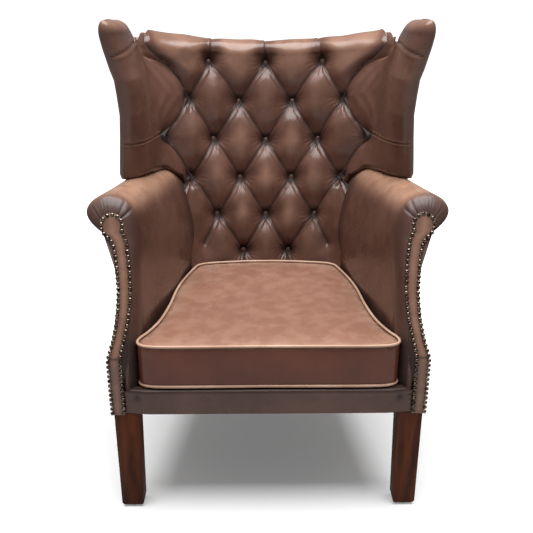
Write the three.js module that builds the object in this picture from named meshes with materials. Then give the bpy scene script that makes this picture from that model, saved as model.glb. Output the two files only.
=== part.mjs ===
// A leather wing armchair with scroll arms, a tufted back and a loose seat cushion.
// Millimetres, +Z up. The sitter faces -Y, and "left" and "right" are as seen from the front.
// Inside the chair group Y = 0 is the face of the front rail; the group then moves so that
// the origin lies on the floor under the middle of the chair.
import * as THREE from "three";

// ---- driving dimensions -------------------------------------------------------------------

const GAP = 0.3; // between pieces that touch
const PAD_CLEARANCE = 4.5; // between the back pad and the arm or wing beside it
const DEPTH_CENTRE = 365.85; // from the front rail's face to the middle of the chair's depth

const UNDERSIDE = 253; // lower edge of the upholstery
const RAIL_BOTTOM = 256;
const RAIL_TOP = 298;
const RAIL_THICK = 25;
const GLIDE_HEIGHT = 4;
const GLIDE_RADIUS = 14;

const DECK_BOTTOM = 309.5;
const DECK_TOP = 317.2;
const CUSHION_BOTTOM = 318;
const CUSHION_EDGE = 420; // top of the cushion's boxing
const CUSHION_CROWN = 26; // rise of its middle above the boxing
const CUSHION_HALF_FRONT = 278;
const CUSHION_TAPER = 0.188; // half-width lost per millimetre of depth

const KINK = 391; // height where the arm's front stops being upright
const ARM_RAKE = 0.38; // backward lean of the arm's front above the kink
const WING_TOP = 1078;

const BACK_TOP = 1000;
const BACK_CORNER_RISE = 24; // the top edge climbs towards the wings
const BACK_HOLLOW = 0.00127; // forward curl of the inside back, per square millimetre off the middle
const REAR_HOLLOW = 0.0006; // the same for the outside back at its top
const PAD_BACK = 60; // from the back's middle line at the surface to the pad's rear face
const FRAME_FRONT = 62;
const FRAME_REAR = 88;
const OUTSIDE_FRONT = 90.5;
const OUTSIDE_REAR = 94;

// ---- the surfaces that the pieces share ------------------------------------------------------

/** Depth of the arm's front face at a height. */
const armFront = (z) => Math.max(0, z - KINK) * ARM_RAKE;

/** Depth of the inside back's surface on the middle line. */
const backLine = (z) => 554 + 0.158 * (z - 445);

/** Half-width of the inside back, where the arm or the wing meets it. */
const backHalf = (z) => 190 + 0.193 * (z - 430);

/** Depth of the hollow inside back at a distance from the middle. */
const backSurface = (x, z) => backLine(z) - BACK_HOLLOW * x * x;

/** Depth of a layer behind the back pad: straight at the seat, and curled forward higher up. */
function behindBack(x, z, distance) {
  const curl = Math.min(1, Math.max(0, (z - RAIL_TOP) / 400));
  return backLine(z) + distance - REAR_HOLLOW * curl * x * x;
}

/** Half-width of the back pad's rear face. */
const backRearHalf = (z) => backHalf(z) + 48 - 0.035 * (z - 430);

/** Half-width of the whole chair at its rear corner. */
const rearCorner = (z) => 268 + 0.04 * (z - UNDERSIDE) + 0.00009 * (z - UNDERSIDE) ** 2;

/** Depth of the slanted joint between the back pad and the arm or wing beside it. */
function mitre(x, z) {
  const front = backSurface(backHalf(z), z);
  const rear = behindBack(backRearHalf(z), z, PAD_BACK);
  const along = (x - backHalf(z)) / (backRearHalf(z) - backHalf(z));
  return Math.min(front + along * (rear - front), rear);
}

// ---- helpers -----------------------------------------------------------------------------------

const mix = (a, b, t) => a + (b - a) * t;

/** The value at a height, on straight lines between [height, value] pairs. */
function between(table, height) {
  const last = table.length - 1;
  if (height <= table[0][0]) {
    return table[0][1];
  }
  for (let i = 0; i < last; i += 1) {
    const [low, from] = table[i];
    const [high, to] = table[i + 1];
    if (height <= high) {
      return mix(from, to, (height - low) / (high - low));
    }
  }
  return table[last][1];
}

/** Turns a closed shape's faces outwards, whichever way its corners were placed. */
function facingOut(geometry) {
  const loose = geometry.index ? geometry.toNonIndexed() : geometry;
  const place = loose.attributes.position;
  const [a, b, c] = [new THREE.Vector3(), new THREE.Vector3(), new THREE.Vector3()];
  let volume = 0;
  for (let i = 0; i < place.count; i += 3) {
    a.fromBufferAttribute(place, i);
    b.fromBufferAttribute(place, i + 1);
    c.fromBufferAttribute(place, i + 2);
    volume += a.dot(b.cross(c));
  }
  if (volume < 0) {
    for (let i = 0; i < place.count; i += 3) {
      b.fromBufferAttribute(place, i + 1);
      c.fromBufferAttribute(place, i + 2);
      place.setXYZ(i + 1, c.x, c.y, c.z);
      place.setXYZ(i + 2, b.x, b.y, b.z);
    }
  }
  return loose;
}

/** A box of cells whose corners are placed one by one from their three cell numbers. */
function block(cells, place) {
  const geometry = new THREE.BoxGeometry(1, 1, 1, ...cells);
  const corner = geometry.attributes.position;
  for (let i = 0; i < corner.count; i += 1) {
    const u = Math.round((corner.getX(i) + 0.5) * cells[0]);
    const v = Math.round((corner.getY(i) + 0.5) * cells[1]);
    const w = Math.round((corner.getZ(i) + 0.5) * cells[2]);
    corner.setXYZ(i, ...place(u, v, w));
  }
  return facingOut(geometry);
}

/** A plain bar between two heights; its plan is one rectangle below and another above. */
function bar(low, high) {
  const levels = [low, high];
  return block([1, 1, 1], (u, v, w) => {
    const level = levels[w];
    return [level.x[u], level.y[v], level.z];
  });
}

/** A flat plate from a plan outline. */
function plate(outline, bottom, top) {
  const shape = new THREE.Shape(outline.map(([x, y]) => new THREE.Vector2(x, y)));
  const geometry = new THREE.ExtrudeGeometry(shape, { depth: top - bottom, bevelEnabled: false });
  geometry.translate(0, 0, bottom);
  return facingOut(geometry);
}

/** The same shape on the other side of the chair. */
function mirrored(geometry) {
  return facingOut(geometry.clone().scale(-1, 1, 1));
}

// ---- finishes -----------------------------------------------------------------------------------

const finish = (color, roughness, metalness = 0) =>
  new THREE.MeshStandardMaterial({ color, roughness, metalness });

const leather = finish(0x7a5344, 0.42);
const seatLeather = finish(0x8a6150, 0.4);
const walnut = finish(0x3f2415, 0.35);
const beech = finish(0xb78b5e, 0.6);
const steel = finish(0x8c8f92, 0.4, 0.9);
const webbing = finish(0x8d7a5b, 0.9);
const blackCloth = finish(0x1c1b1a, 0.95);
const deckCloth = finish(0x4a3226, 0.9);
const nylon = finish(0x2a2522, 0.5);

const chair = new THREE.Group();
chair.position.set(0, -DEPTH_CENTRE, 0);

function add(name, geometry, material) {
  const mesh = new THREE.Mesh(geometry, material);
  mesh.name = name;
  chair.add(mesh);
}

/** Adds a right-hand piece and its mirror image. */
function addPair(name, geometry, material) {
  add(`${name}_right`, geometry, material);
  add(`${name}_left`, mirrored(geometry), material);
}

// ---- legs and glides -----------------------------------------------------------------------------

const LEG_CHAMFER_TOP = 12;

// Plan corners of each leg, as [inner x, outer x] and [front y, rear y] at five heights.
// The last two are the spigot that stands inside the seat frame.
const frontLegLevels = [
  { x: [296, 339], y: [9, 46], z: GLIDE_HEIGHT },
  { x: [292, 342.5], y: [5, 50], z: LEG_CHAMFER_TOP },
  { x: [290.5, 345], y: [4, 61], z: UNDERSIDE - 0.5 },
  { x: [291, 333], y: [6, 58], z: UNDERSIDE },
  { x: [291, 333], y: [6, 58], z: RAIL_TOP },
];
const rearLegLevels = [
  { x: [222, 258], y: [632, 668], z: GLIDE_HEIGHT },
  { x: [219, 261], y: [626, 671], z: LEG_CHAMFER_TOP },
  { x: [216, 262], y: [565, 611], z: UNDERSIDE - 0.5 },
  { x: [216, 258], y: [572, 611], z: UNDERSIDE },
  { x: [216, 258], y: [572, 611], z: RAIL_TOP },
];
const FRONT_LEG_SKEW = 6; // the outer face turns in towards the rear, along the side of the seat

function leg(levels, skew) {
  return block([1, 1, levels.length - 1], (u, v, w) => {
    const { x, y, z } = levels[w];
    return [x[u] - u * v * skew, y[v], z];
  });
}

function glide(levels) {
  const [foot] = levels;
  const disc = new THREE.CylinderGeometry(GLIDE_RADIUS, GLIDE_RADIUS, GLIDE_HEIGHT - GAP, 24);
  disc.rotateX(Math.PI / 2);
  const x = (foot.x[0] + foot.x[1]) / 2;
  const y = (foot.y[0] + foot.y[1]) / 2;
  disc.translate(x, y, (GLIDE_HEIGHT - GAP) / 2);
  return facingOut(disc);
}

addPair("front_leg", leg(frontLegLevels, FRONT_LEG_SKEW), walnut);
addPair("rear_leg", leg(rearLegLevels, 0), walnut);
addPair("front_glide", glide(frontLegLevels), nylon);
addPair("rear_glide", glide(rearLegLevels), nylon);

// ---- seat frame -----------------------------------------------------------------------------------

const FRONT_RAIL_Y = 6;
const BACK_RAIL_Y = 586;
const SIDE_RAIL_FRONT = { inner: 308, outer: 333, y: 58.5 };
const SIDE_RAIL_REAR = { inner: 234, outer: 259, y: 571.5 };

function crossRail(half, y) {
  const plan = { x: [-half, half], y: [y, y + RAIL_THICK] };
  return bar({ ...plan, z: RAIL_BOTTOM }, { ...plan, z: RAIL_TOP });
}

function sideRail() {
  const ends = [SIDE_RAIL_FRONT, SIDE_RAIL_REAR];
  const heights = [RAIL_BOTTOM, RAIL_TOP];
  return block([1, 1, 1], (u, v, w) => {
    const end = ends[v];
    return [u ? end.outer : end.inner, end.y, heights[w]];
  });
}

const frontBlockPlan = [
  [222, 31.5],
  [290, 31.5],
  [290, 59],
  [307, 59],
  [300, 106],
];
const rearBlockPlan = [
  [160, 585.5],
  [215.5, 585.5],
  [215.5, 571],
  [233.5, 571],
  [240, 520],
];

add("front_rail", crossRail(290.2, FRONT_RAIL_Y), beech);
add("back_rail", crossRail(215.4, BACK_RAIL_Y), beech);
addPair("side_rail", sideRail(), beech);
addPair("front_corner_block", plate(frontBlockPlan, RAIL_BOTTOM + 4, RAIL_TOP - 4), beech);
addPair("rear_corner_block", plate(rearBlockPlan, RAIL_BOTTOM + 4, RAIL_TOP - 4), beech);

// ---- sinuous seat springs -----------------------------------------------------------------------

const SPRING_COUNT = 5;
const SPRING_SPACING = 84;
const SPRING_WIRE = 2; // half the wire's thickness
const SPRING_WAVE = 20; // half the width of one spring
const SPRING_BENDS = 22;
const SPRING_RISE = 3.5;
const SPRING_FRONT = 16;
const SPRING_REAR = 602;

function sinuousSpring(x) {
  const points = [];
  for (let i = 0; i <= SPRING_BENDS; i += 1) {
    const along = i / SPRING_BENDS;
    const side = i % 2 ? SPRING_WAVE : -SPRING_WAVE;
    const y = mix(SPRING_FRONT, SPRING_REAR, along);
    const z = RAIL_TOP + SPRING_WIRE + 1 + SPRING_RISE * Math.sin(Math.PI * along);
    points.push(new THREE.Vector3(x + side, y, z));
  }
  const path = new THREE.CatmullRomCurve3(points);
  const wire = new THREE.Shape().absarc(0, 0, SPRING_WIRE, 0, 2 * Math.PI);
  return facingOut(
    new THREE.ExtrudeGeometry(wire, { steps: 2 * SPRING_BENDS, curveSegments: 2, extrudePath: path }),
  );
}

for (let i = 0; i < SPRING_COUNT; i += 1) {
  const x = (i - (SPRING_COUNT - 1) / 2) * SPRING_SPACING;
  add(`seat_spring_${i + 1}`, sinuousSpring(x), steel);
}

// ---- arm frame -------------------------------------------------------------------------------------

// Half-width of the outside of the arm at its front, from the underside up to the scroll.
const armOutline = [
  [UNDERSIDE, 347],
  [KINK, 350],
  [409, 345],
  [429, 336],
  [449, 331],
  [490, 326],
  [530, 323],
  [571, 329],
  [611, 339],
  [631, 344],
  [652, 354],
];
const STUMP_INNER = 304;
const STUMP_FRONT = 3; // behind the facing, inside the rounded edge of the arm's leather
const STUMP_DEPTH = 28;
const STUMP_SKEW = 4.5; // the stump narrows towards the rear, as the arm's outside does
const stumpHeights = [RAIL_TOP + 0.5, KINK, 409, 429, 449, 490, 530, 571, 611, 640, 655, 670];

function armStump() {
  const last = stumpHeights.length - 1;
  return block([1, 1, last], (u, v, w) => {
    const z = stumpHeights[w];
    const inner = between([[640, STUMP_INNER], [670, 313]], z);
    const outer = Math.min(between(armOutline, z) - 4.7, 348) - v * STUMP_SKEW;
    return [u ? outer : inner, armFront(z) + STUMP_FRONT + v * STUMP_DEPTH, z];
  });
}

function armBoard() {
  const front = { x: [316, 344], z: [650, 670] };
  const rear = { x: [255, 280], z: [611, 630] };
  return block([1, 1, 1], (u, v, w) => {
    const x = v ? rear.x[u] : front.x[u];
    const z = v ? rear.z[w] : front.z[w];
    const y = v ? mitre(x, z) - PAD_CLEARANCE : armFront(z) + STUMP_FRONT + STUMP_DEPTH + 1;
    return [x, y, z];
  });
}

addPair("arm_stump", armStump(), beech);
addPair("arm_board", armBoard(), beech);

// ---- back frame ------------------------------------------------------------------------------------

const POST_WIDTH = 42;
const postOuter = (z) => rearCorner(z) - 7;
const postInner = (z) => postOuter(z) - POST_WIDTH;
const POST_TOP = 985;

function backPost() {
  const count = 7;
  return block([1, 1, count], (u, v, w) => {
    const z = mix(RAIL_TOP + 0.5, POST_TOP, w / count);
    const x = u ? postOuter(z) : postInner(z);
    return [x, behindBack(x, z, v ? FRAME_REAR : FRAME_FRONT), z];
  });
}

/** A rail or a strap across the back; depths are measured from the inside back's middle line. */
function backBar(bottom, top, front, rear) {
  const heights = [bottom, top];
  const side = postInner(bottom) - 0.6;
  const columns = 8;
  return block([columns, 1, 1], (u, v, w) => {
    const x = side * ((2 * u) / columns - 1);
    return [x, behindBack(x, heights[w], v ? rear : front), heights[w]];
  });
}

const STRAP_COUNT = 4;
const STRAP_PITCH = 105;
const STRAP_WIDTH = 50;
const STRAP_LOWEST = 510;

addPair("back_post", backPost(), beech);
add("top_rail", backBar(925, 972, FRAME_FRONT, FRAME_REAR), beech);
add("lower_back_rail", backBar(430, 475, FRAME_FRONT, FRAME_REAR), beech);
for (let i = 0; i < STRAP_COUNT; i += 1) {
  const bottom = STRAP_LOWEST + i * STRAP_PITCH;
  const strap = backBar(bottom, bottom + STRAP_WIDTH, FRAME_FRONT + 2, FRAME_FRONT + 4);
  add(`back_strap_${i + 1}`, strap, webbing);
}

// ---- arm upholstery ---------------------------------------------------------------------------------

// Corners of the arm pad's section, as [x, z]: its visible side and its hidden side,
// at the scroll and where it meets the back.
const armSections = {
  scroll: {
    shown: [
      [281, 300], [281, KINK], [280, 500], [280, 590], [281, 645], [290, 682], [311, 708],
      [338, 719], [366, 717], [388, 704], [398, 686], [391, 668], [372, 656], [354, 652.5],
    ],
    hidden: [
      [297, 300], [297, KINK], [297, 500], [297, 590], [297, 640], [304, 666], [314, 680],
      [335, 685], [350, 685], [358, 683], [362, 678], [362, 670], [359, 663], [354, 656],
    ],
  },
  rear: {
    shown: [
      [192, 300], [188, KINK], [186, 493], [192, 549], [207, 609], [226, 650], [248, 680],
      [272, 692], [290, 688], [300, 677], [303, 662], [301, 650], [297, 642], [291, 635.5],
    ],
    hidden: [
      [224, 300], [224, KINK], [225, 493], [228, 549], [233, 595], [243, 625], [256, 645],
      [270, 655], [276, 655], [281, 653], [284, 650], [286, 646], [287, 642], [289, 638],
    ],
  },
};

function armPad() {
  const steps = 4;
  const count = armSections.scroll.shown.length - 1;
  return block([count, 1, steps], (u, v, w) => {
    const side = v ? "hidden" : "shown";
    const [frontX, frontZ] = armSections.scroll[side][u];
    const [rearX, rearZ] = armSections.rear[side][u];
    const frontY = armFront(frontZ) + GAP;
    const rearY = mitre(rearX, rearZ) - PAD_CLEARANCE;
    const t = w / steps;
    return [mix(frontX, rearX, t), mix(frontY, rearY, t), mix(frontZ, rearZ, t)];
  });
}

const PANEL_THICK = 3.2;
const ARM_PANEL_TOP_FRONT = 650;
const ARM_PANEL_TOP_REAR = 633;

function outsideArm() {
  const steps = 11;
  return block([steps, 1, 4], (u, v, w) => {
    const back = w / 4;
    const top = mix(ARM_PANEL_TOP_FRONT, ARM_PANEL_TOP_REAR, back);
    const z = mix(UNDERSIDE, top, u / steps);
    const x = mix(between(armOutline, z), rearCorner(z), back);
    const rear = behindBack(rearCorner(z), z, FRAME_REAR);
    const y = mix(armFront(z) + 6, rear, back);
    return [x - v * PANEL_THICK, y, z];
  });
}

// The narrow panel on the arm's front, as [height, inner edge, outer edge].
const facingOutline = [
  [UNDERSIDE, 321.5, 347],
  [RAIL_TOP - 1, 322, 348],
  [RAIL_TOP, 322, 348],
  [KINK, 322, 349],
  [429, 314, 335],
  [469, 305, 328],
  [530, 299, 324],
  [571, 301, 328],
  [610, 305, 331],
  [630, 308, 338],
  [639, 310, 345],
  [646, 311.5, 356],
  [660, 315, 362],
  [670, 317.4, 360.6],
  [678, 322.5, 355.5],
  [683, 330, 348],
  [684.7, 336, 342],
];
const FACING_THICK = 3.7;

function armFacing() {
  return block([1, 1, facingOutline.length - 1], (u, v, w) => {
    const [z, inner, outer] = facingOutline[w];
    const front = armFront(z) - FACING_THICK - GAP;
    const rear = z < RAIL_TOP ? 5.2 : armFront(z) - GAP;
    return [u ? outer : inner, v ? rear : front, z];
  });
}

addPair("arm_pad", armPad(), leather);
addPair("outside_arm", outsideArm(), leather);
addPair("arm_facing", armFacing(), leather);

// ---- wings -------------------------------------------------------------------------------------------

// The wing's front edge, as [height, depth] and [height, half-width over the outside].
const wingEdgeDepth = [
  [700, 300],
  [780, 284],
  [870, 271],
  [960, 258],
  [1020, 244],
  [WING_TOP, 240],
];
const wingEdgeHalf = [
  [700, 352],
  [807, 342],
  [867, 338],
  [913, 341],
  [947, 344],
  [970, 351],
  [1019, 362],
  [1044, 367],
  [WING_TOP, 369],
];
const WING_THICK = 58;
const WING_PAD_THICK = 32;
const WING_FRAME_THICK = 10;
const WING_FRAME_DROP = 30;
const WING_FRAME_RISE = 100; // the frame's lower edge climbs clear of the deep corner beside the back
const WING_NOSE = 0.1; // share of the wing's depth that the rolled front edge takes
const wingStations = [0, WING_NOSE, 0.14, 0.35, 0.6, 0.8, 1];
const WING_LEVELS = 7;
const ARM_CLEARANCE = 723;

const wingBottom = (s) => ARM_CLEARANCE - 25 * s;
const wingTop = (s) => WING_TOP - 88 * s ** 2.2;

/** A point on the wing's inner face: s runs from its front edge to the back, z is its height. */
function wingInner(s, z) {
  const x = mix(between(wingEdgeHalf, z) - WING_THICK, backHalf(z), s);
  const y = mix(between(wingEdgeDepth, z) + 18, backSurface(backHalf(z), z), s);
  return [x, y];
}

/**
 * A layer of the wing between two stations. Reach gives its two faces' distances outwards,
 * drop how far its top stays under the wing's top edge, and rise how far its bottom climbs.
 */
function wingLayer(stations, reach, drop = 0, rise = 0) {
  return block([stations.length - 1, 1, WING_LEVELS], (u, v, w) => {
    const s = stations[u];
    const z = mix(wingBottom(s) + rise * s ** 2, wingTop(s) - drop, w / WING_LEVELS);
    const [innerX, innerY] = wingInner(s, z);
    const x = innerX + reach(s)[v];
    const y = s === 1 ? mitre(x, z) - PAD_CLEARANCE : innerY - (s < WING_NOSE ? 18 * v : 0);
    return [x, y, z];
  });
}

function wingPad() {
  const reach = (s) => [0, s > WING_NOSE ? WING_PAD_THICK : WING_THICK];
  return wingLayer(wingStations, reach);
}

function wingFrame() {
  const stations = [0.17, 0.35, 0.6, 0.8, 1];
  const reach = () => [WING_PAD_THICK + 2.5, WING_PAD_THICK + 2.5 + WING_FRAME_THICK];
  return wingLayer(stations, reach, WING_FRAME_DROP, WING_FRAME_RISE);
}

function outsideWing() {
  const start = 0.16;
  return block([3, 1, WING_LEVELS], (u, v, w) => {
    const back = u / 3;
    const s = mix(start, 1, back);
    const z = mix(wingBottom(s), wingTop(s), w / WING_LEVELS);
    const [frontX, frontY] = wingInner(start, z);
    const x = mix(frontX + WING_THICK, rearCorner(z), back);
    const y = mix(frontY, behindBack(rearCorner(z), z, FRAME_REAR), back);
    return [x - v * PANEL_THICK, y, z];
  });
}

addPair("wing_pad", wingPad(), leather);
addPair("wing_frame", wingFrame(), beech);
addPair("outside_wing", outsideWing(), leather);

// ---- back upholstery -----------------------------------------------------------------------------------

const BACK_PAD_BOTTOM = 322;

/** A wall across the back; place gives the half-width and depth of its front or rear face. */
function backWall(bottom, columns, place) {
  const levels = 13;
  return block([columns, 1, levels], (u, v, w) => {
    const across = (2 * u) / columns - 1;
    const up = w / levels;
    const z = mix(bottom, BACK_TOP, up) + BACK_CORNER_RISE * up * across * across;
    const [half, depth] = place(v, across, z);
    return [across * half, depth, z];
  });
}

const backPad = backWall(BACK_PAD_BOTTOM, 12, (v, across, z) => {
  const half = v ? backRearHalf(z) : backHalf(z);
  const x = across * half;
  return [half, v ? behindBack(x, z, PAD_BACK) : backSurface(x, z)];
});
const outsideBack = backWall(UNDERSIDE, 12, (v, across, z) => {
  const half = rearCorner(z) - 0.5;
  return [half, behindBack(across * half, z, v ? OUTSIDE_REAR : OUTSIDE_FRONT)];
});

add("inside_back", backPad, leather);
add("outside_back", outsideBack, leather);

// ---- seat upholstery -------------------------------------------------------------------------------------

const DECK_TAPER = 0.164;

/** A layer over the seat that narrows towards the rear, between two depths. */
function seatLayer(halfFront, taper, depths, heights) {
  return block([1, 1, 1], (u, v, w) => {
    const y = depths[v];
    const half = halfFront - taper * Math.max(y, 0);
    return [u ? half : -half, y, heights[w]];
  });
}

/** The roll over the front rail; its underside steps up to clear the springs. */
function frontEdgeRoll() {
  const depths = [-2, 8, 11, 33.5];
  const undersides = [299.5, 299.5, 306.5, 306.5];
  return block([1, 3, 1], (u, v, w) => {
    const half = 279.5 - DECK_TAPER * Math.max(depths[v], 0);
    return [u ? half : -half, depths[v], w ? 316.8 : undersides[v]];
  });
}

function seatCushion() {
  const [columns, rows] = [10, 8];
  const front = -3;
  const rear = 526;
  return block([columns, rows, 1], (u, v, w) => {
    const across = (2 * u) / columns - 1;
    const back = v / rows;
    const half = CUSHION_HALF_FRONT - CUSHION_TAPER * mix(front, rear - 44, back);
    const x = across * half;
    const y = mix(front, rear - BACK_HOLLOW * x * x, back);
    const crown = CUSHION_CROWN * (1 - across * across) * (1 - (2 * back - 1) ** 2);
    return [x, y, w ? CUSHION_EDGE + crown : CUSHION_BOTTOM];
  });
}

const undersidePlan = [
  [-289, 7], [289, 7], [289, 62.5], [330, 62.5], [259, 564], [215, 564], [215, 610],
  [-215, 610], [-215, 564], [-259, 564], [-330, 62.5], [-289, 62.5],
];

add("seat_deck", seatLayer(278, DECK_TAPER, [34, 560], [DECK_BOTTOM, DECK_TOP]), deckCloth);
add("front_edge_roll", frontEdgeRoll(), leather);
add("rail_cover", seatLayer(321, 0, [0, 5.2], [UNDERSIDE, RAIL_TOP + 0.2]), leather);
add("seat_cushion", seatCushion(), seatLeather);
add("dust_cover", plate(undersidePlan, UNDERSIDE + 0.5, UNDERSIDE + 2), blackCloth);

export default chair;
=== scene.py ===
# %% [markdown]
# # A leather wing armchair with a buttoned back
# The chair is built the way an upholsterer builds it: a beech frame on four walnut legs, webbing and
# springs, padded panels under leather, decorative nails along the arm fronts and a loose cushion.
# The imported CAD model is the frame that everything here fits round, so it is loaded first. Each soft
# block of that model is then replaced by a finely shaped piece, and its hard parts get their finishes.

import math

import bmesh
import bpy
import numpy as np
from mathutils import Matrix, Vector


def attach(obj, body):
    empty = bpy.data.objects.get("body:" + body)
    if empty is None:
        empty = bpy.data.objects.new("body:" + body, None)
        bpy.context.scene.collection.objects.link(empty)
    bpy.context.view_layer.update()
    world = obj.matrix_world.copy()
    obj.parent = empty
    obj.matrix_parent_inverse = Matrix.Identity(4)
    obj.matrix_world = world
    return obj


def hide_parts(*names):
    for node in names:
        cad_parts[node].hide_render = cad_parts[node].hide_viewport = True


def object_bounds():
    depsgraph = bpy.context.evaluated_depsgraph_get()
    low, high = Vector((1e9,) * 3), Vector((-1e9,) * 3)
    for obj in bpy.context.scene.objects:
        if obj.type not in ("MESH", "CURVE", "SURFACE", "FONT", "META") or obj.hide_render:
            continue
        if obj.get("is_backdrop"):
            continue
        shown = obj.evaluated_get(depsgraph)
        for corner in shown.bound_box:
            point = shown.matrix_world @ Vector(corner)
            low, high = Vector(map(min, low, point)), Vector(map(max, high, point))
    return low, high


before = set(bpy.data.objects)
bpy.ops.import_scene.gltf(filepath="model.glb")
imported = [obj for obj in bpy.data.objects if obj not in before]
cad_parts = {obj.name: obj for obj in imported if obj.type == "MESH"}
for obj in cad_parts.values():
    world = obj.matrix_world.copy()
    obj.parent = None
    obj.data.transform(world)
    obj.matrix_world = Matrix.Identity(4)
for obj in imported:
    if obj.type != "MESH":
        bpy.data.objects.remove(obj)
cad_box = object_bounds()

# %% [markdown]
# ## Millimetres of the chair, metres of the scene
# A maker measures a chair from the face of its front rail, in millimetres. Blender works in metres, and
# the frame has its origin under the middle of the chair, so one small function moves every point across.

# %% Units
MM = 0.001
DEPTH_CENTRE = 365.85  # from the front rail's face to the middle of the chair's depth


def to_frame(points):
    """Chair millimetres as the frame's metres."""
    moved = np.array(points, float)
    moved[..., 1] -= DEPTH_CENTRE
    return moved * MM


# %% [markdown]
# ## Camera
# The camera comes early, because every later choice is judged through it. It stands a step back from
# the chair at head height and looks down at the seat with a lens a little longer than normal.

# %% Camera
CAMERA_X = -24
CAMERA_Y = -1550
CAMERA_Z = 1200
CAMERA_LENS = 54.03
CAMERA_TILT = math.radians(69.0)
CAMERA_TURN = math.radians(-0.7)

camera_data = bpy.data.cameras.new("camera")
camera_data.lens = CAMERA_LENS
camera_data.sensor_width = 36
camera = bpy.data.objects.new("camera", camera_data)
camera.location = to_frame((CAMERA_X, CAMERA_Y, CAMERA_Z))
camera.rotation_euler = (CAMERA_TILT, 0, CAMERA_TURN)
bpy.context.collection.objects.link(camera)
bpy.context.scene.camera = camera
print("camera at", [round(v, 3) for v in camera.location])

# %% [markdown]
# ## Building materials from nodes
# Every finish below is a small network of nodes that ends in one Principled shader. These helpers keep
# the networks short to read: one adds a node and sets its plain values, one joins two sockets.

# %% Node helpers
def srgb(red, green, blue):
    """A screen colour, 0 to 255, as the linear colour that a shader wants."""
    levels = [red / 255, green / 255, blue / 255]
    linear = [v / 12.92 if v <= 0.04045 else ((v + 0.055) / 1.055) ** 2.4 for v in levels]
    return (*linear, 1)


class Network:
    """The node tree of a new material, with its Principled shader."""

    def __init__(self, name):
        self.material = bpy.data.materials.new(name)
        self.material.use_nodes = True
        self.tree = self.material.node_tree
        self.shader = self.tree.nodes["Principled BSDF"]
        self.place = self.add("ShaderNodeTexCoord").outputs["Object"]

    def add(self, kind, settings=None, **inputs):
        node = self.tree.nodes.new(kind)
        for key, value in (settings or {}).items():
            setattr(node, key, value)
        for key, value in inputs.items():
            self.set(node.inputs[key.replace("_", " ")], value)
        return node

    def set(self, socket, value):
        if isinstance(value, bpy.types.NodeSocket):
            self.tree.links.new(value, socket)
        else:
            socket.default_value = value

    def shade(self, **inputs):
        for key, value in inputs.items():
            self.set(self.shader.inputs[key.replace("_", " ")], value)

    def noise(self, scale, detail=2.0, roughness=0.5, vector=None):
        node = self.add("ShaderNodeTexNoise", Scale=scale, Detail=detail, Roughness=roughness)
        self.set(node.inputs["Vector"], vector or self.place)
        return node.outputs["Fac"]

    def stretched(self, x, y, z):
        node = self.add("ShaderNodeMapping", Scale=(x, y, z))
        self.set(node.inputs["Vector"], self.place)
        return node.outputs["Vector"]

    def ramp(self, value, low, high, to_low=0.0, to_high=1.0):
        node = self.add("ShaderNodeMapRange", {"interpolation_type": "SMOOTHSTEP"})
        for index, number in enumerate((value, low, high, to_low, to_high)):
            self.set(node.inputs[index], number)
        return node.outputs["Result"]

    def sum(self, kind, a, b):
        node = self.add("ShaderNodeMath", {"operation": kind})
        self.set(node.inputs[0], a)
        self.set(node.inputs[1], b)
        return node.outputs["Value"]

    def blend(self, amount, a, b):
        node = self.add("ShaderNodeMix", {"data_type": "RGBA"})
        for socket, value in zip((0, 6, 7), (amount, a, b)):
            self.set(node.inputs[socket], value)
        return node.outputs[2]

    def attribute(self, name):
        return self.add("ShaderNodeAttribute", {"attribute_name": name}).outputs["Fac"]

    def bump(self, height, distance, strength=1.0, under=None):
        node = self.add("ShaderNodeBump", Distance=distance, Strength=strength, Height=height)
        if under:
            self.set(node.inputs["Normal"], under)
        return node.outputs["Normal"]


# %% [markdown]
# ## Leather
# This is a semi-gloss brown hide that has been rubbed paler where people sit and lean. Its fine pebble
# grain is a Voronoi pattern about a millimetre and a half across, and two slow noises mottle the colour.
# Each leather piece carries two numbers at every point, which its own shape works out below: one paints
# shade into the folds and pits as a darker colour, the other paints wear and highlight as a paler one.

# %% Leather
HIDE = srgb(112, 80, 68)
HIDE_DARK = srgb(82, 56, 47)
# The fold colour is painted shade for folds and pits; the rubbed colour is wear with painted highlight.
HIDE_FOLD_SHADE = srgb(34, 18, 15)
HIDE_RUBBED_AND_LIT = srgb(168, 130, 108)
HIDE_ROUGHNESS = 0.29
HIDE_SPECULAR = 0.34
HIDE_COAT = 0.14
HIDE_COAT_ROUGHNESS = 0.2
PEBBLES_PER_METRE = 620.0
PEBBLE_HEIGHT = 0.00012
CREASE_HEIGHT = 0.0005


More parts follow.
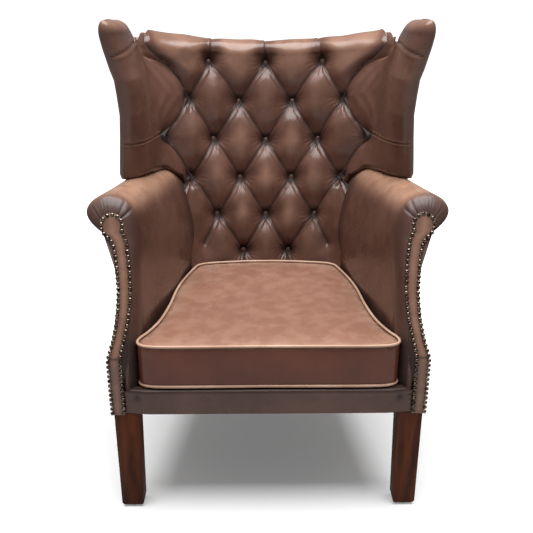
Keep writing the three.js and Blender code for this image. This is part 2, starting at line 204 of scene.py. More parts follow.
def leather(name, hide=HIDE, dark=HIDE_DARK, rubbed_and_lit=HIDE_RUBBED_AND_LIT, gloss=HIDE_ROUGHNESS):
    net = Network(name)
    cloud = net.ramp(net.noise(7, 4, 0.6), 0.35, 0.68)
    speck = net.ramp(net.noise(30, 3, 0.55), 0.3, 0.72)
    mottle = net.sum("MULTIPLY", cloud, 0.55)
    mottle = net.sum("ADD", mottle, net.sum("MULTIPLY", speck, 0.14))
    colour = net.blend(mottle, dark, hide)
    # Wear with painted highlight makes the colour paler, and painted shade in the folds makes it darker.
    rub_and_sheen = net.attribute("rub_and_sheen")
    worn_and_lit = net.sum("MULTIPLY", rub_and_sheen, net.ramp(speck, 0.0, 1.0, 0.72, 1.0))
    colour = net.blend(worn_and_lit, colour, rubbed_and_lit)
    colour = net.blend(net.attribute("fold_shade"), colour, HIDE_FOLD_SHADE)
    net.shade(Base_Color=colour)
    polish = net.ramp(mottle, 0.0, 0.85, gloss - 0.04, gloss + 0.08)
    net.shade(Roughness=net.sum("ADD", polish, net.sum("MULTIPLY", net.attribute("fold_shade"), 0.4)))
    pebbles = net.add("ShaderNodeTexVoronoi", {"feature": "SMOOTH_F1"}, Scale=PEBBLES_PER_METRE)
    net.set(pebbles.inputs["Vector"], net.place)
    pores = net.bump(pebbles.outputs["Distance"], PEBBLE_HEIGHT)
    creasing = net.bump(net.noise(55, 3, 0.5), CREASE_HEIGHT, 0.35, under=pores)
    net.shade(Normal=creasing)
    net.shader.inputs["Specular IOR Level"].default_value = HIDE_SPECULAR
    net.shader.inputs["Coat Weight"].default_value = HIDE_COAT
    net.shader.inputs["Coat Roughness"].default_value = HIDE_COAT_ROUGHNESS
    return net.material


hide_leather = leather("leather")
seat_hide = leather(
    "seat_leather",
    hide=srgb(116, 62, 42),
    dark=srgb(92, 47, 33),
    rubbed_and_lit=srgb(166, 133, 114),
    gloss=0.27,
)
piping_hide = leather("piping", hide=srgb(206, 176, 154), dark=srgb(172, 134, 112), gloss=0.42)
print("leathers:", hide_leather.name, seat_hide.name, piping_hide.name)

# %% [markdown]
# ## Wood, metal and cloth
# Wood is a noise stretched along the length of the timber, with fine dark pores of the same kind. The
# nails are brass darkened in soft random patches. The cloths under the seat are woven, so two sets of
# waves cross at right angles.

# %% Wood
PORE_HEIGHT = 0.00012
WALNUT_SPECULAR = 0.16


def wood(name, light, dark, gloss):
    net = Network(name)
    grain = net.noise(9, 6, 0.62, net.stretched(5, 5, 0.55))
    pores = net.noise(60, 3, 0.6, net.stretched(9, 9, 0.5))
    colour = net.blend(net.ramp(grain, 0.32, 0.7), dark, light)
    colour = net.blend(net.ramp(pores, 0.6, 0.72, 0.0, 0.55), colour, dark)
    net.shade(Base_Color=colour)
    net.shade(Roughness=net.ramp(pores, 0.3, 0.8, gloss, gloss + 0.15))
    net.shade(Normal=net.bump(pores, PORE_HEIGHT))
    return net.material


walnut = wood("walnut", srgb(104, 50, 22), srgb(54, 24, 10), 0.42)
walnut.node_tree.nodes["Principled BSDF"].inputs["Specular IOR Level"].default_value = WALNUT_SPECULAR
beech = wood("beech", srgb(206, 166, 120), srgb(168, 124, 82), 0.55)
print("woods:", walnut.name, beech.name)


# %% Metal and cloth
CLOTH_ROUGHNESS = 0.9
WEAVE_HEIGHT = 0.0004


def metal(name, colour, dark, roughness):
    net = Network(name)
    tarnish = net.ramp(net.noise(160, 4, 0.6), 0.35, 0.65)
    net.shade(Base_Color=net.blend(tarnish, dark, colour))
    net.shade(Roughness=net.ramp(tarnish, 0.0, 1.0, roughness + 0.12, roughness))
    net.shader.inputs["Metallic"].default_value = 1.0
    return net.material


def cloth(name, light, dark, threads):
    net = Network(name)
    warp = net.add("ShaderNodeTexWave", {"bands_direction": "X"}, Scale=threads)
    weft = net.add("ShaderNodeTexWave", {"bands_direction": "Y"}, Scale=threads)
    net.set(warp.inputs["Vector"], net.place)
    net.set(weft.inputs["Vector"], net.place)
    weave = net.sum("MULTIPLY", warp.outputs["Fac"], weft.outputs["Fac"])
    net.shade(Base_Color=net.blend(weave, dark, light))
    net.shade(Normal=net.bump(weave, WEAVE_HEIGHT))
    net.shader.inputs["Roughness"].default_value = CLOTH_ROUGHNESS
    return net.material


def plain(name, light, dark, roughness):
    net = Network(name)
    net.shade(Base_Color=net.blend(net.noise(120, 3), dark, light))
    net.shade(Normal=net.bump(net.noise(400, 2), 0.0001))
    net.shader.inputs["Roughness"].default_value = roughness
    return net.material


brass = metal("nail_brass", srgb(138, 122, 108), srgb(36, 28, 23), 0.18)
steel = metal("spring_steel", srgb(190, 192, 194), srgb(120, 122, 126), 0.35)
webbing = cloth("webbing", srgb(190, 170, 130), srgb(120, 100, 70), 110)
deck_cloth = cloth("deck_cloth", srgb(96, 68, 52), srgb(52, 34, 26), 190)
cambric = cloth("black_cambric", srgb(44, 43, 42), srgb(16, 16, 16), 260)
nylon = plain("nylon", srgb(60, 54, 50), srgb(44, 40, 37), 0.5)
thread = plain("thread", srgb(150, 112, 90), srgb(116, 82, 64), 0.6)
print("materials so far:", len(bpy.data.materials))

# %% [markdown]
# ## Making a mesh from rings
# Most of the pieces are lofts: a closed outline is placed many times along a path, and neighbouring
# outlines are joined by quads. It could be done with curves, but an array of points lets the leather's
# folds be added as plain numbers before the mesh is made. The two ends are closed, and Blender is asked
# to point every face outwards.

# %% Loft helper
SAME_POINT = 0.00002  # points closer than this, in metres, are one point


def set_numbers(mesh, name, values):
    """Stores one number for each point, for a material to read."""
    store = mesh.attributes.new(name, "FLOAT", "POINT")
    store.data.foreach_set("value", np.asarray(values, np.float32).ravel())


def finish_mesh(name, mesh, material):
    """Closes seams, points the faces outwards and puts the mesh in the scene."""
    work = bmesh.new()
    work.from_mesh(mesh)
    bmesh.ops.remove_doubles(work, verts=work.verts, dist=SAME_POINT)
    bmesh.ops.recalc_face_normals(work, faces=work.faces)
    if work.calc_volume(signed=True) < 0:
        bmesh.ops.reverse_faces(work, faces=work.faces)
    work.to_mesh(mesh)
    work.free()
    mesh.shade_smooth()
    mesh.materials.append(material)
    piece = bpy.data.objects.new(name, mesh)
    bpy.context.collection.objects.link(piece)
    return piece


def ring_quads(rings, around):
    """Corner numbers of the quads between closed rings of points."""
    first = np.arange(rings - 1)[:, None] * around
    here = np.arange(around)[None, :]
    ahead = (here + 1) % around
    corners = [first + here, first + ahead, first + around + ahead, first + around + here]
    return np.stack(corners, -1).reshape(-1, 4)


def loft(name, rings, material, fold_shade=None, rub_and_sheen=None):
    """A closed piece through rings of points, given in chair millimetres."""
    count, around = rings.shape[:2]
    faces = ring_quads(count, around).tolist()
    faces.append(list(range(around)))
    faces.append(list(range((count - 1) * around, count * around)))
    mesh = bpy.data.meshes.new(name)
    mesh.from_pydata(to_frame(rings.reshape(-1, 3)).tolist(), [], faces)
    for label, values in (("fold_shade", fold_shade), ("rub_and_sheen", rub_and_sheen)):
        set_numbers(mesh, label, np.zeros(count * around) if values is None else values)
    return finish_mesh(name, mesh, material)


# %% Curve helpers
def smooth_path(points, count):
    """A soft curve through the points, cut into evenly numbered steps."""
    points = np.array(points, float)
    padded = np.vstack([2 * points[0] - points[1], points, 2 * points[-1] - points[-2]])
    where = np.linspace(0, len(points) - 1, count)
    index = np.minimum(where.astype(int), len(points) - 2)
    t = (where - index)[:, None]
    a, b, c, d = (padded[index + k] for k in range(4))
    cubic = (3 * b - 3 * c + d - a) * t**3 + (2 * a - 5 * b + 4 * c - d) * t**2 + (c - a) * t
    return b + 0.5 * cubic


def even_path(points, step, closed=False):
    """The same path with its points a fixed distance apart."""
    points = np.array(points, float)
    if closed:
        points = np.vstack([points, points[:1]])
    lengths = np.linalg.norm(np.diff(points, axis=0), axis=1)
    along = np.concatenate([[0], np.cumsum(lengths)])
    count = max(2, round(along[-1] / step))
    where = np.linspace(0, along[-1], count + 1)
    even = np.stack([np.interp(where, along, points[:, k]) for k in range(3)], 1)
    return even[:-1] if closed else even


def smoothstep(low, high, value):
    """0 at low, 1 at high and a soft S between them."""
    t = np.clip((value - low) / (high - low), 0, 1)
    return t * t * (3 - 2 * t)


def hump(value, width):
    """1 where the value is nought, falling away softly on both sides."""
    return np.exp(-((value / width) ** 2))


def read_table(table, value):
    """A value read off a table of pairs, straight between the pairs."""
    return np.interp(value, [pair[0] for pair in table], [pair[1] for pair in table])


def unit(vectors):
    return vectors / np.maximum(np.linalg.norm(vectors, axis=-1, keepdims=True), 1e-9)


def grid_normals(points):
    """Unit normals of a grid of points, from its rows and columns."""
    down = np.gradient(points, axis=0)
    across = np.gradient(points, axis=1)
    return unit(np.cross(across, down))


def mirrored(points):
    return points * np.array([-1, 1, 1])


# %% [markdown]
# ## The curved wall that a sitter leans against
# Seen from above, the inside of the chair is one wall: a hollow back, a soft corner on each side, and a
# wing that runs forward from it. The back and the wing pads are separate covers on this wall, so both
# are placed by the same function. It takes the distance along the wall from the middle and a height.

# %% Shared surfaces
BACK_HOLLOW = 0.00127  # forward curl of the inside back, per square millimetre off the middle
REAR_HOLLOW = 0.0006
BACK_LEAN = 0.158
CORNER_ON_BACK = 46  # how far the soft corner reaches along the back
CORNER_ON_WING = 62  # and along the wing
CORNER_LENGTH = 0.93 * (CORNER_ON_BACK + CORNER_ON_WING)
CORNER_EXTRA = 13  # how much wider the back is beside the wings than beside the arms
WING_HALF_THICK = 29
BACK_DEPTH = 554  # of the back's face, at BACK_DEPTH_LEVEL up
BACK_DEPTH_LEVEL = 445
BACK_HALF = 190  # half-width of the back's face, at BACK_HALF_LEVEL up
BACK_HALF_LEVEL = 430
BACK_SPREAD = 0.193
REAR_HALF = 268  # half-width of the outside back, at REAR_LEVEL up
REAR_LEVEL = 253
REAR_SPREAD = 0.04
REAR_FLARE = 0.00009
CURL_START = 298  # the outside back is flat below this and fully hollow above CURL_START + CURL_RISE
CURL_RISE = 400


def back_line(z):
    """Depth of the back's face on the chair's middle line."""
    return BACK_DEPTH + BACK_LEAN * (z - BACK_DEPTH_LEVEL)


def back_half(z):
    """Half-width of the back's face, up to its sharp corners."""
    return BACK_HALF + BACK_SPREAD * (z - BACK_HALF_LEVEL)


def back_surface(x, z):
    return back_line(z) - BACK_HOLLOW * x * x


def behind_back(x, z, distance):
    """Depth of a surface a fixed distance behind the back's face."""
    curl = np.clip((z - CURL_START) / CURL_RISE, 0, 1)
    return back_line(z) + distance - REAR_HOLLOW * curl * x * x


def rear_corner(z):
    """Half-width of the outside back at a height."""
    return REAR_HALF + REAR_SPREAD * (z - REAR_LEVEL) + REAR_FLARE * (z - REAR_LEVEL) ** 2


WING_EDGE_DEPTH = [(700, 300), (780, 284), (870, 271), (960, 258), (1020, 244), (1078, 240)]
WING_EDGE_HALF = [
    (700, 352), (732, 349), (807, 342), (867, 338), (913, 341), (947, 344),
    (970, 351), (992, 356), (1019, 362), (1044, 367), (1078, 369),
]


def wing_edge(z):
    """Depth and outer half-width of the wing's front edge at a height."""
    return read_table(WING_EDGE_DEPTH, z), read_table(WING_EDGE_HALF, z)


ARC_STEPS = np.linspace(0, 420, 421)
slope = np.sqrt(1 + (2 * BACK_HOLLOW * ARC_STEPS) ** 2)
ARC_LENGTHS = np.concatenate([[0], np.cumsum((slope[1:] + slope[:-1]) / 2)])


def x_at_arc(arc):
    return np.interp(arc, ARC_LENGTHS, ARC_STEPS)


def arc_at_x(x):
    return np.interp(x, ARC_STEPS, ARC_LENGTHS)


def xy(x, y):
    return np.stack([x, y], -1)


def corner_points(z):
    """Where the soft corner starts on the back, its sharp corner, its end on the wing and the wing's tip."""
    half = back_half(z) + CORNER_EXTRA * smoothstep(650, 730, z)
    sharp = xy(half, back_surface(half, z))
    on_back = xy(half - CORNER_ON_BACK, back_surface(half - CORNER_ON_BACK, z))
    depth, edge = wing_edge(z)
    nose = xy(edge - 2 * WING_HALF_THICK, depth + WING_HALF_THICK)
    on_wing = sharp + unit(nose - sharp) * CORNER_ON_WING
    return on_back, sharp, on_wing, nose


def bezier(a, b, c, t):
    t = t[..., None]
    return a * (1 - t) ** 2 + 2 * b * t * (1 - t) + c * t**2


def wall(arc, z):
    """Plan position of the wall at a distance from the middle and a height."""
    on_back, sharp, on_wing, nose = corner_points(z)
    start = arc_at_x(on_back[..., 0])
    t = (arc - start) / CORNER_LENGTH
    x = x_at_arc(arc)
    flat = xy(x, back_surface(x, z))
    bend = bezier(on_back, sharp, on_wing, np.clip(t, 0, 1))
    beyond = unit(nose - sharp) * np.maximum(arc - start - CORNER_LENGTH, 0)[..., None]
    return np.where((t > 0)[..., None], bend + beyond, flat)


print("half-width of the back at arm height:", round(float(back_half(650)), 1), "mm")

# %% [markdown]
# ## The buttoned back
# Deep buttoning divides the padding into diamonds. Every button pulls the leather down to the frame,
# and the spare leather between two buttons is folded into a straight pleat. Sculpting it by hand would
# be slow and uneven, so the lattice is a rule: buttons sit on whole and half columns, and pleats join
# each one to its neighbours in the next row. Every point is then pushed in according to how far it is
# from the nearest pleats and buttons. The grid's own diagonals run along the pleats, which keeps their
# edges crisp.

# %% The lattice of buttons
ROW_HEIGHT = 101.5
FIRST_ROW_Z = 945
ROW_PITCH = [143, 134, 133, 131, 126.5, 116]  # distance between buttons in each row
ROW_COLUMNS = [
    (-1, 0, 1),
    (-1.5, -0.5, 0.5, 1.5),
    (-2, -1, 0, 1, 2),
    (-1.5, -0.5, 0.5, 1.5),
    (-1, 0, 1),
    (-0.5, 0.5),
]
ROW_LENGTH = ROW_HEIGHT * math.sqrt(1 + BACK_LEAN**2)
LAST_ROW = len(ROW_PITCH) - 1
buttons = [(column, row) for row, columns in enumerate(ROW_COLUMNS) for column in columns]


def pitch(row):
    return np.interp(row, range(len(ROW_PITCH)), ROW_PITCH)


def row_lift(row, x):
    """A row rises towards the sides, because the back curls forward and leans."""
    return np.interp(row, [-0.16, 0.8], [0.00036, 0.00045]) * x * x


pleats = []
for column, row in buttons:
    for side in (-0.5, 0.5):
        if (column + side, row + 1) in buttons:
            pleats.append((column, row, column + side, row + 1))
print("buttons:", len(buttons), "pleats:", len(pleats))

# %% [markdown]
# Beyond the lattice, pleats run straight up over the top edge from the first row and straight down
# behind the cushion from the last. Short ones run out to the arms. The wing covers meet the back cover
# in a pleat too, which starts at a tuck by the ear and passes through the outer buttons.

# %% Pleats at the edges
TOP_PLEATS = [(column, 0, column * 1.02, -1.15) for column in ROW_COLUMNS[0]]
SEAT_PLEATS = [(column, LAST_ROW, column * 1.04, LAST_ROW + 1.3) for column in ROW_COLUMNS[-1]]
ARM_PLEATS = [(side, 4, side * 1.42, 4.8) for side in (-1, 1)]
ARM_PLEATS += [(side * 1.5, 3, side * 1.76, 3.5) for side in (-1, 1)]
WING_JOINT = [
    (2.39, -0.55),
    (2.31, -0.28),
    (2.17, -0.085),
    (1.86, 0.21),
    (1.66, 0.54),
    (1.54, 0.84),
    (1.5, 1),
    (2, 2),
    (1.5, 3),
    (1.76, 3.5),
]


def distances(columns, rows, segment):
    """Distance to a pleat in millimetres, signed distance across it, and the share along it."""
    wide = pitch(rows)
    ax, ay = segment[0] * wide, segment[1] * ROW_LENGTH
    bx, by = segment[2] * wide, segment[3] * ROW_LENGTH
    px, py = columns * wide - ax, rows * ROW_LENGTH - ay
    dx, dy = bx - ax, by - ay
    length = np.sqrt(dx * dx + dy * dy)
    along = (px * dx + py * dy) / length**2
    held = np.clip(along, 0, 1)
    gap = np.hypot(px - held * dx, py - held * dy)
    across = (px * dy - py * dx) / length
    return gap, across, held


# %% How deep the leather lies
PLEAT_DEPTH = 18
BUTTON_DEPTH = 44
PILLOW_REACH = 60  # distance from a pleat at which the padding is full
PILLOW_FULLNESS = 0.72  # below 1, the padding rises steeply beside a pleat
PIT_RADIUS = 19
LIP_RISE = 2.6  # height of the leather's fold beside a pleat
LIP_OFFSET = 6
LIP_WIDTH = 3.2
TOP_TUCK = 18  # reach of the padding beside the wing joint at the top, where it is hard and thin
TOP_PLEAT_REACH = 46
JOINT_LAST_ROW = 3.3  # the wing covers meet the back above this row
FAN_SEED = 7
FAN_RISE = 1.5
FAN_RADIUS = 20
LONG_FOLD_RISE = 0.8
LONG_FOLD_RADIUS = 38
rng = np.random.default_rng(FAN_SEED)


def pillow(gap, reach=PILLOW_REACH):
    """0 in a pleat, rising to 1 where the padding is full."""
    rise = 1 - (1 - np.clip(gap / reach, 0, 1)) ** 2
    return rise**PILLOW_FULLNESS


def pleat_lip(gap, across, side):
    """The fold of leather that lies along one side of a pleat."""
    offset = across * side
    return LIP_RISE * hump(offset - LIP_OFFSET, LIP_WIDTH) * np.exp(-((gap - np.abs(across)) ** 2) / 30)


def joint_gap(columns, rows):
    """Signed distance in millimetres beyond the pleat that joins the back cover to a wing's."""
    column = np.abs(columns)
    nearest = np.full_like(column, 1e3)
    for (c0, r0), (c1, r1) in zip(WING_JOINT, WING_JOINT[1:]):
        gap, _, _ = distances(column, rows, (c0, r0, c1, r1))
        nearest = np.minimum(nearest, gap)
    limit = np.interp(rows, [r for _, r in WING_JOINT], [c for c, _ in WING_JOINT])
    return np.where(column > limit, nearest, -nearest)


def pits(columns, rows):
    """1 at a button, falling away round it."""
    pit = np.zeros_like(columns)
    for column, row in buttons:
        radius = np.hypot((columns - column) * pitch(rows), (rows - row) * ROW_LENGTH)
        pit = np.maximum(pit, np.exp(-((radius / PIT_RADIUS) ** 1.1)))
    return pit


def fans(columns, rows):
    """Fine folds that spread from each button, most of them below it."""
    folds = np.zeros_like(columns)
    for column, row in buttons:
        dx = (columns - column) * pitch(rows)
        dy = (rows - row) * ROW_LENGTH
        radius = np.hypot(dx, dy)
        angle = np.arctan2(dx, dy)
        count = rng.integers(15, 19)
        phase, drift = rng.uniform(0, 6.28, 2)
        below = 0.4 + 0.6 * smoothstep(2.0, 0.6, np.abs(angle))
        ripple = np.sin(angle * count + phase + 1.5 * np.sin(radius / 9 + drift))
        long = np.sin(dx / (4.4 + drift / 3) + phase) * hump(radius - LONG_FOLD_RADIUS, 20)
        folds += FAN_RISE * ripple * below * hump(radius - FAN_RADIUS, 13) + LONG_FOLD_RISE * long * below
    return folds


def buttoned(columns, rows):
    """How far the leather is pushed in or out, how much painted shade its pleats and pits get, and the
    nearest pleat's distance.
    """
    joint = joint_gap(columns, rows)
    tuck = TOP_TUCK + (PILLOW_REACH - TOP_TUCK) * smoothstep(-0.1, 0.7, rows)
    full = np.where(rows < JOINT_LAST_ROW, pillow(np.abs(joint), tuck), 1)
    near = np.where(rows < JOINT_LAST_ROW, np.abs(joint), 1e3)
    lips = np.zeros_like(columns)
    for segment in pleats + SEAT_PLEATS + ARM_PLEATS:
        gap, across, _ = distances(columns, rows, segment)
        on_joint = abs(segment[0]) + abs(segment[2]) == 3.5 and segment[1] in (1, 2)
        full *= 1 if on_joint else pillow(gap)
        near = np.minimum(near, gap)
        side = 1 if segment[2] < segment[0] else -1
        lips += pleat_lip(gap, across, side)
    for segment in TOP_PLEATS:
        gap, across, held = distances(columns, rows, segment)
        shallow = 1 - 0.8 * smoothstep(0.05, 0.6, held)
        full *= 1 - shallow * (1 - pillow(gap, TOP_PLEAT_REACH))
        near = np.minimum(near, gap + 6 * smoothstep(0.2, 0.9, held))
        lips += 0.6 * pleat_lip(gap, across, 1)
    pit = pits(columns, rows)
    depth = PLEAT_DEPTH * (full - 1) - (BUTTON_DEPTH - PLEAT_DEPTH) * pit
    # Painted shade: the colour darkens along the pleats and in the button pits.
    fold_shade = np.exp(-((near / 3.1) ** 1.2)) * 0.88 + 0.95 * smoothstep(0.22, 0.72, pit)
    return depth + lips, np.clip(fold_shade, 0, 0.95), near


print("padding lies", PLEAT_DEPTH, "mm deep in a pleat and", BUTTON_DEPTH, "mm at a button")

# %% [markdown]
# The cover itself is a band of rings. Each ring goes up the front, rolls over the top rail and comes
# down inside the outside back, so the cover is closed. Where the wing covers meet it, it dives out of
# sight behind them, as the real one is pulled through and stapled to the frame.

# %% The inside back
CELLS = 32  # grid cells between two rows of buttons
ROLL_ROW = -5 / CELLS  # row where the front turns into the roll over the top rail
ROLL_RISE = 37
ROLL_STEPS = 34
ROLL_RADIUS = 42
COLUMN_REACH = 2.5
OUTER_COLUMN = 1.5  # beyond this column the lattice is squeezed beside the arms
BACK_BOTTOM_ROW = 6.2
REAR_STEPS = 9
REAR_CLEARANCE = 14  # the padding's rear stays this far inside the outside panels
BACK_THICK = 88
ARM_OVERLAP = 26  # how far the cover runs on behind the arms
WING_OVERLAP = 60  # and how much farther behind the wings
OVERLAP_SQUEEZE = 0.85
SINK_SLOPE = 0.9  # how fast the cover dives once it is behind a wing's
SINK_LIMIT = 18


def back_profile():
    """Row numbers up the front and over the roll, with the roll's angle."""
    front = np.arange(BACK_BOTTOM_ROW, ROLL_ROW - 1e-9, -1 / CELLS)
    angle = np.linspace(0, math.pi, ROLL_STEPS + 1)[1:]
    roll = ROLL_ROW - angle * ROLL_RADIUS / ROW_LENGTH
    return np.concatenate([front, roll]), np.concatenate([np.zeros(len(front)), angle])


def back_base(columns, rows, angle):
    """The plain cover before buttoning, as points in chair millimetres."""
    nominal = FIRST_ROW_Z - ROW_HEIGHT * np.maximum(rows, ROLL_ROW)
    arc = np.abs(columns) * pitch(rows)
    x_flat = x_at_arc(arc)
    z = nominal + row_lift(rows, x_flat)
    limit = arc_at_x(back_half(z)) + ARM_OVERLAP + WING_OVERLAP * smoothstep(JOINT_LAST_ROW, 2.3, rows)
    arc = arc - OVERLAP_SQUEEZE * np.maximum(arc - limit, 0)
    plan = wall(arc, z)
    x = plan[..., 0]
    thick = BACK_THICK + (BACK_HOLLOW - REAR_HOLLOW) * x**2
    y = plan[..., 1] + thick / 2 * (1 - np.cos(angle))
    z = z + ROLL_RISE * np.sin(angle)
    return np.stack([x * np.sign(columns + 1e-9), y, z], -1)


columns_line = np.arange(-COLUMN_REACH, COLUMN_REACH + 1e-9, 1 / (2 * CELLS))
rows_line, angle_line = back_profile()
columns, rows = np.meshgrid(columns_line, rows_line, indexing="ij")
angle = np.broadcast_to(angle_line, columns.shape)
squeeze = 1 - 0.62 * smoothstep(2.2, 3.1, rows)
beyond = np.maximum(np.abs(columns) - OUTER_COLUMN, 0)
columns = np.sign(columns) * (np.minimum(np.abs(columns), OUTER_COLUMN) + beyond * squeeze)

base = back_base(columns, rows, angle)
outward = grid_normals(base)
outward *= np.sign(-outward[len(columns_line) // 2, 20, 1])
depth, fold_shade, near_pleat = buttoned(columns, rows)
fade = 1 - smoothstep(1.9, 2.9, angle)
wave = 1.3 * np.sin(columns * 7.1 + rows * 3.3) * np.sin(rows * 5.7 - columns * 2.2)
depth = (depth + fans(columns, rows) + wave) * fade
hidden = np.maximum(joint_gap(columns, rows), 0) * (rows < 3.5)
dive = -PLEAT_DEPTH - SINK_SLOPE * np.minimum(hidden, SINK_LIMIT)
sunk = dive * (0.3 + 0.7 * smoothstep(-0.1, 0.6, rows)) * fade
depth = np.where(hidden > 0, sunk, depth)
# Painted shade where the cover dives behind a wing and shows through the pits beside it.
fold_shade = np.where((hidden > 3) & (rows > 0.3), 0.9, fold_shade)
front_face = base + outward * depth[..., None]

# %% Close the inside back behind its padding
drop = np.linspace(0, 1, REAR_STEPS + 1)[1:]
rear = np.repeat(front_face[:, -1:, :], REAR_STEPS, 1)
rear[..., 2] = front_face[:, -1:, 2] + (front_face[:, :1, 2] - front_face[:, -1:, 2]) * drop
rear[..., 1] = front_face[:, -1:, 1] - BACK_LEAN * (front_face[:, -1:, 2] - rear[..., 2])
room = rear_corner(rear[..., 2]) - REAR_CLEARANCE
rear[..., 0] = np.clip(rear[..., 0], -room, room)
back_rings = np.concatenate([front_face, rear], 1)
back_fold_shade = np.concatenate([fold_shade, np.zeros(rear.shape[:2])], 1)
# Wear and painted sheen: paler on the middle pillows' crowns, and a painted sheen on the top panels.
crown = smoothstep(18, 52, near_pleat) * smoothstep(0.4, 2.5, rows) * smoothstep(5.2, 3.6, rows)
middle = np.exp(-((columns / 1.2) ** 4))
crown = 0.42 * crown * middle + 0.34 * smoothstep(12, 40, near_pleat) * smoothstep(0.75, 0.1, rows)
back_rub_and_sheen = np.concatenate([crown * fade, np.zeros(rear.shape[:2])], 1)
inside_back = loft("inside_back_cover", back_rings, hide_leather, back_fold_shade, back_rub_and_sheen)
print("inside back:", len(inside_back.data.polygons), "faces")

# %% [markdown]
# ## Wings
# A wing is a padded board: flat inside, rolled over at its front edge and along its top, where it rises
# to a blunt ear. Horizontal rings suit it. Each ring starts in the joint with the back, follows the
# wall forward, turns round the front edge and comes back along the outside. Near the top the ring closes
# up onto the board's middle, which rounds the top edge and the ear in one step.

# %% Wing shape
WING_TOP = 1078
WING_TOP_FALL = 92  # from the ear to the back's corner
WING_LOW = 710
WING_LOW_FALL = 22
INNER_STEPS = 104
CHEEK_STEPS = 24
NOSE_STEPS = 34
OUTER_STEPS = 30
SIDE_ROWS = 104
CAP_ROWS = 16
CAP_HEIGHT = 26
CHEEK_REACH = 112  # how far back from the front edge the inner face starts to thin
CHEEK_DEPTH = 43
EDGE_RADIUS = 15
PANEL_THICK = 5  # of the outside arms and wings
JOINT_MARGIN = 24  # how far the cover runs on behind the back's
WING_REAR = 83  # distance of the wing's rear corner behind the back's face
FAR_FROM_JOINT = 200.0


def wing_top(share):
    """Height of the wing's top edge from its front, 0, to the back, 1."""
    return WING_TOP - WING_TOP_FALL * np.clip(share, 0, 1) ** 2.4


def wing_rows():
    """Share of the height and fullness of each ring; the last rings close the top."""
    sides = np.linspace(0, 1, SIDE_ROWS)
    closing = np.linspace(0, math.pi / 2, CAP_ROWS + 1)[1:]
    height = np.concatenate([sides, 1 + np.sin(closing)])
    full = np.concatenate([np.ones(SIDE_ROWS), np.cos(closing)])
    return height, full * (1 - 0.25 * smoothstep(0.05, 0, height) ** 2)


def row_heights(share, row, extra=0):
    """Heights along a ring; extra lowers the wing's bottom edge."""
    low = WING_LOW - WING_LOW_FALL * share - extra
    high = wing_top(share) - CAP_HEIGHT
    return np.where(row <= 1, low + (high - low) * row, high + CAP_HEIGHT * (row - 1))


def edge_frame(z):
    """Where the inner face starts to thin, and the directions ahead and to the outside."""
    _, sharp, _, nose = corner_points(z)
    ahead = unit(nose - sharp)
    side = np.stack([-ahead[..., 1], ahead[..., 0]], -1)
    thin = nose - ahead * (CHEEK_REACH - WING_HALF_THICK)
    return thin, ahead, side


# %% Wing rings
def inner_face(row, full):
    """From behind the joint with the back, round the corner and forward to the cheek."""
    start = np.linspace(0, 1, INNER_STEPS)
    share = 1 - np.clip((start - 0.3) / 0.7, 0, 1) * 0.68
    z = row_heights(share[None, :], row[:, None], 60 * smoothstep(0.6, 0.1, start)[None, :])
    on_back, _, on_wing, _ = corner_points(z)
    seam = np.interp(z, SEAM_HEIGHTS, SEAM_ARCS) - JOINT_MARGIN
    thin, _, _ = edge_frame(z)
    end = arc_at_x(on_back[..., 0]) + CORNER_LENGTH + np.linalg.norm(thin - on_wing, axis=-1)
    arc = seam + (end - seam) * start
    skin = wall(arc, z)
    heading = unit(np.gradient(skin, axis=1))
    normal = np.stack([-heading[..., 1], heading[..., 0]], -1)
    middle = skin + WING_HALF_THICK * normal
    ring = middle + full[:, None, None] * (skin - middle)
    rows_here = (FIRST_ROW_Z - z) / ROW_HEIGHT
    for _ in range(3):
        rows_here = (FIRST_ROW_Z - z + row_lift(rows_here, x_at_arc(arc))) / ROW_HEIGHT
    return np.concatenate([ring, z[..., None]], -1), arc / pitch(rows_here), rows_here


def front_edge(row, full):
    """The cheek thins towards a narrow rounded front edge."""
    cheek_turn = np.linspace(0, 0.5, CHEEK_STEPS + 1)[1:]
    edge_turn = np.linspace(0.5, 1, NOSE_STEPS - CHEEK_STEPS + 1)[1:]
    turn = np.concatenate([cheek_turn, edge_turn]) * math.pi
    share = 0.32 * np.maximum(1 - 2 * turn / math.pi, 0)
    z = row_heights(share[None, :], row[:, None])
    thin, ahead, side = edge_frame(z)
    cheek = turn <= math.pi / 2 + 1e-9
    inward = np.where(cheek, CHEEK_DEPTH, EDGE_RADIUS) * -np.cos(turn)
    forward = np.where(cheek, CHEEK_REACH * np.sin(turn), CHEEK_REACH - EDGE_RADIUS * (1 - np.sin(turn)))
    spine = thin + side * CHEEK_DEPTH
    core = np.where(cheek, np.sin(turn), 1) * (CHEEK_REACH - EDGE_RADIUS)
    core = spine + ahead * core[None, :, None]
    skin = spine + ahead * forward[None, :, None] + side * inward[None, :, None]
    ring = core + full[:, None, None] * (skin - core)
    return np.concatenate([ring, z[..., None]], -1)


def outer_face(row, full):
    """Back along the outside, under the outside wing panel, to the rear corner."""
    share = np.linspace(0, 1, OUTER_STEPS)
    z = row_heights(share[None, :], row[:, None])
    thin, ahead, side = edge_frame(z)
    first = thin + side * CHEEK_DEPTH + ahead * (CHEEK_REACH - EDGE_RADIUS)
    corner = rear_corner(z)
    last = xy(corner - PANEL_THICK, behind_back(corner, z, WING_REAR))
    back_edge = xy(back_half(z), back_surface(back_half(z), z))
    core_end = back_edge + WING_HALF_THICK * np.array([0.9, 0.4])
    mix = share[None, :, None]
    core = first + (core_end - first) * mix
    shell = first + side * EDGE_RADIUS
    shell = shell + (last - shell) * mix
    ring = core + full[:, None, None] * (shell - core)
    return np.concatenate([ring, z[..., None]], -1)


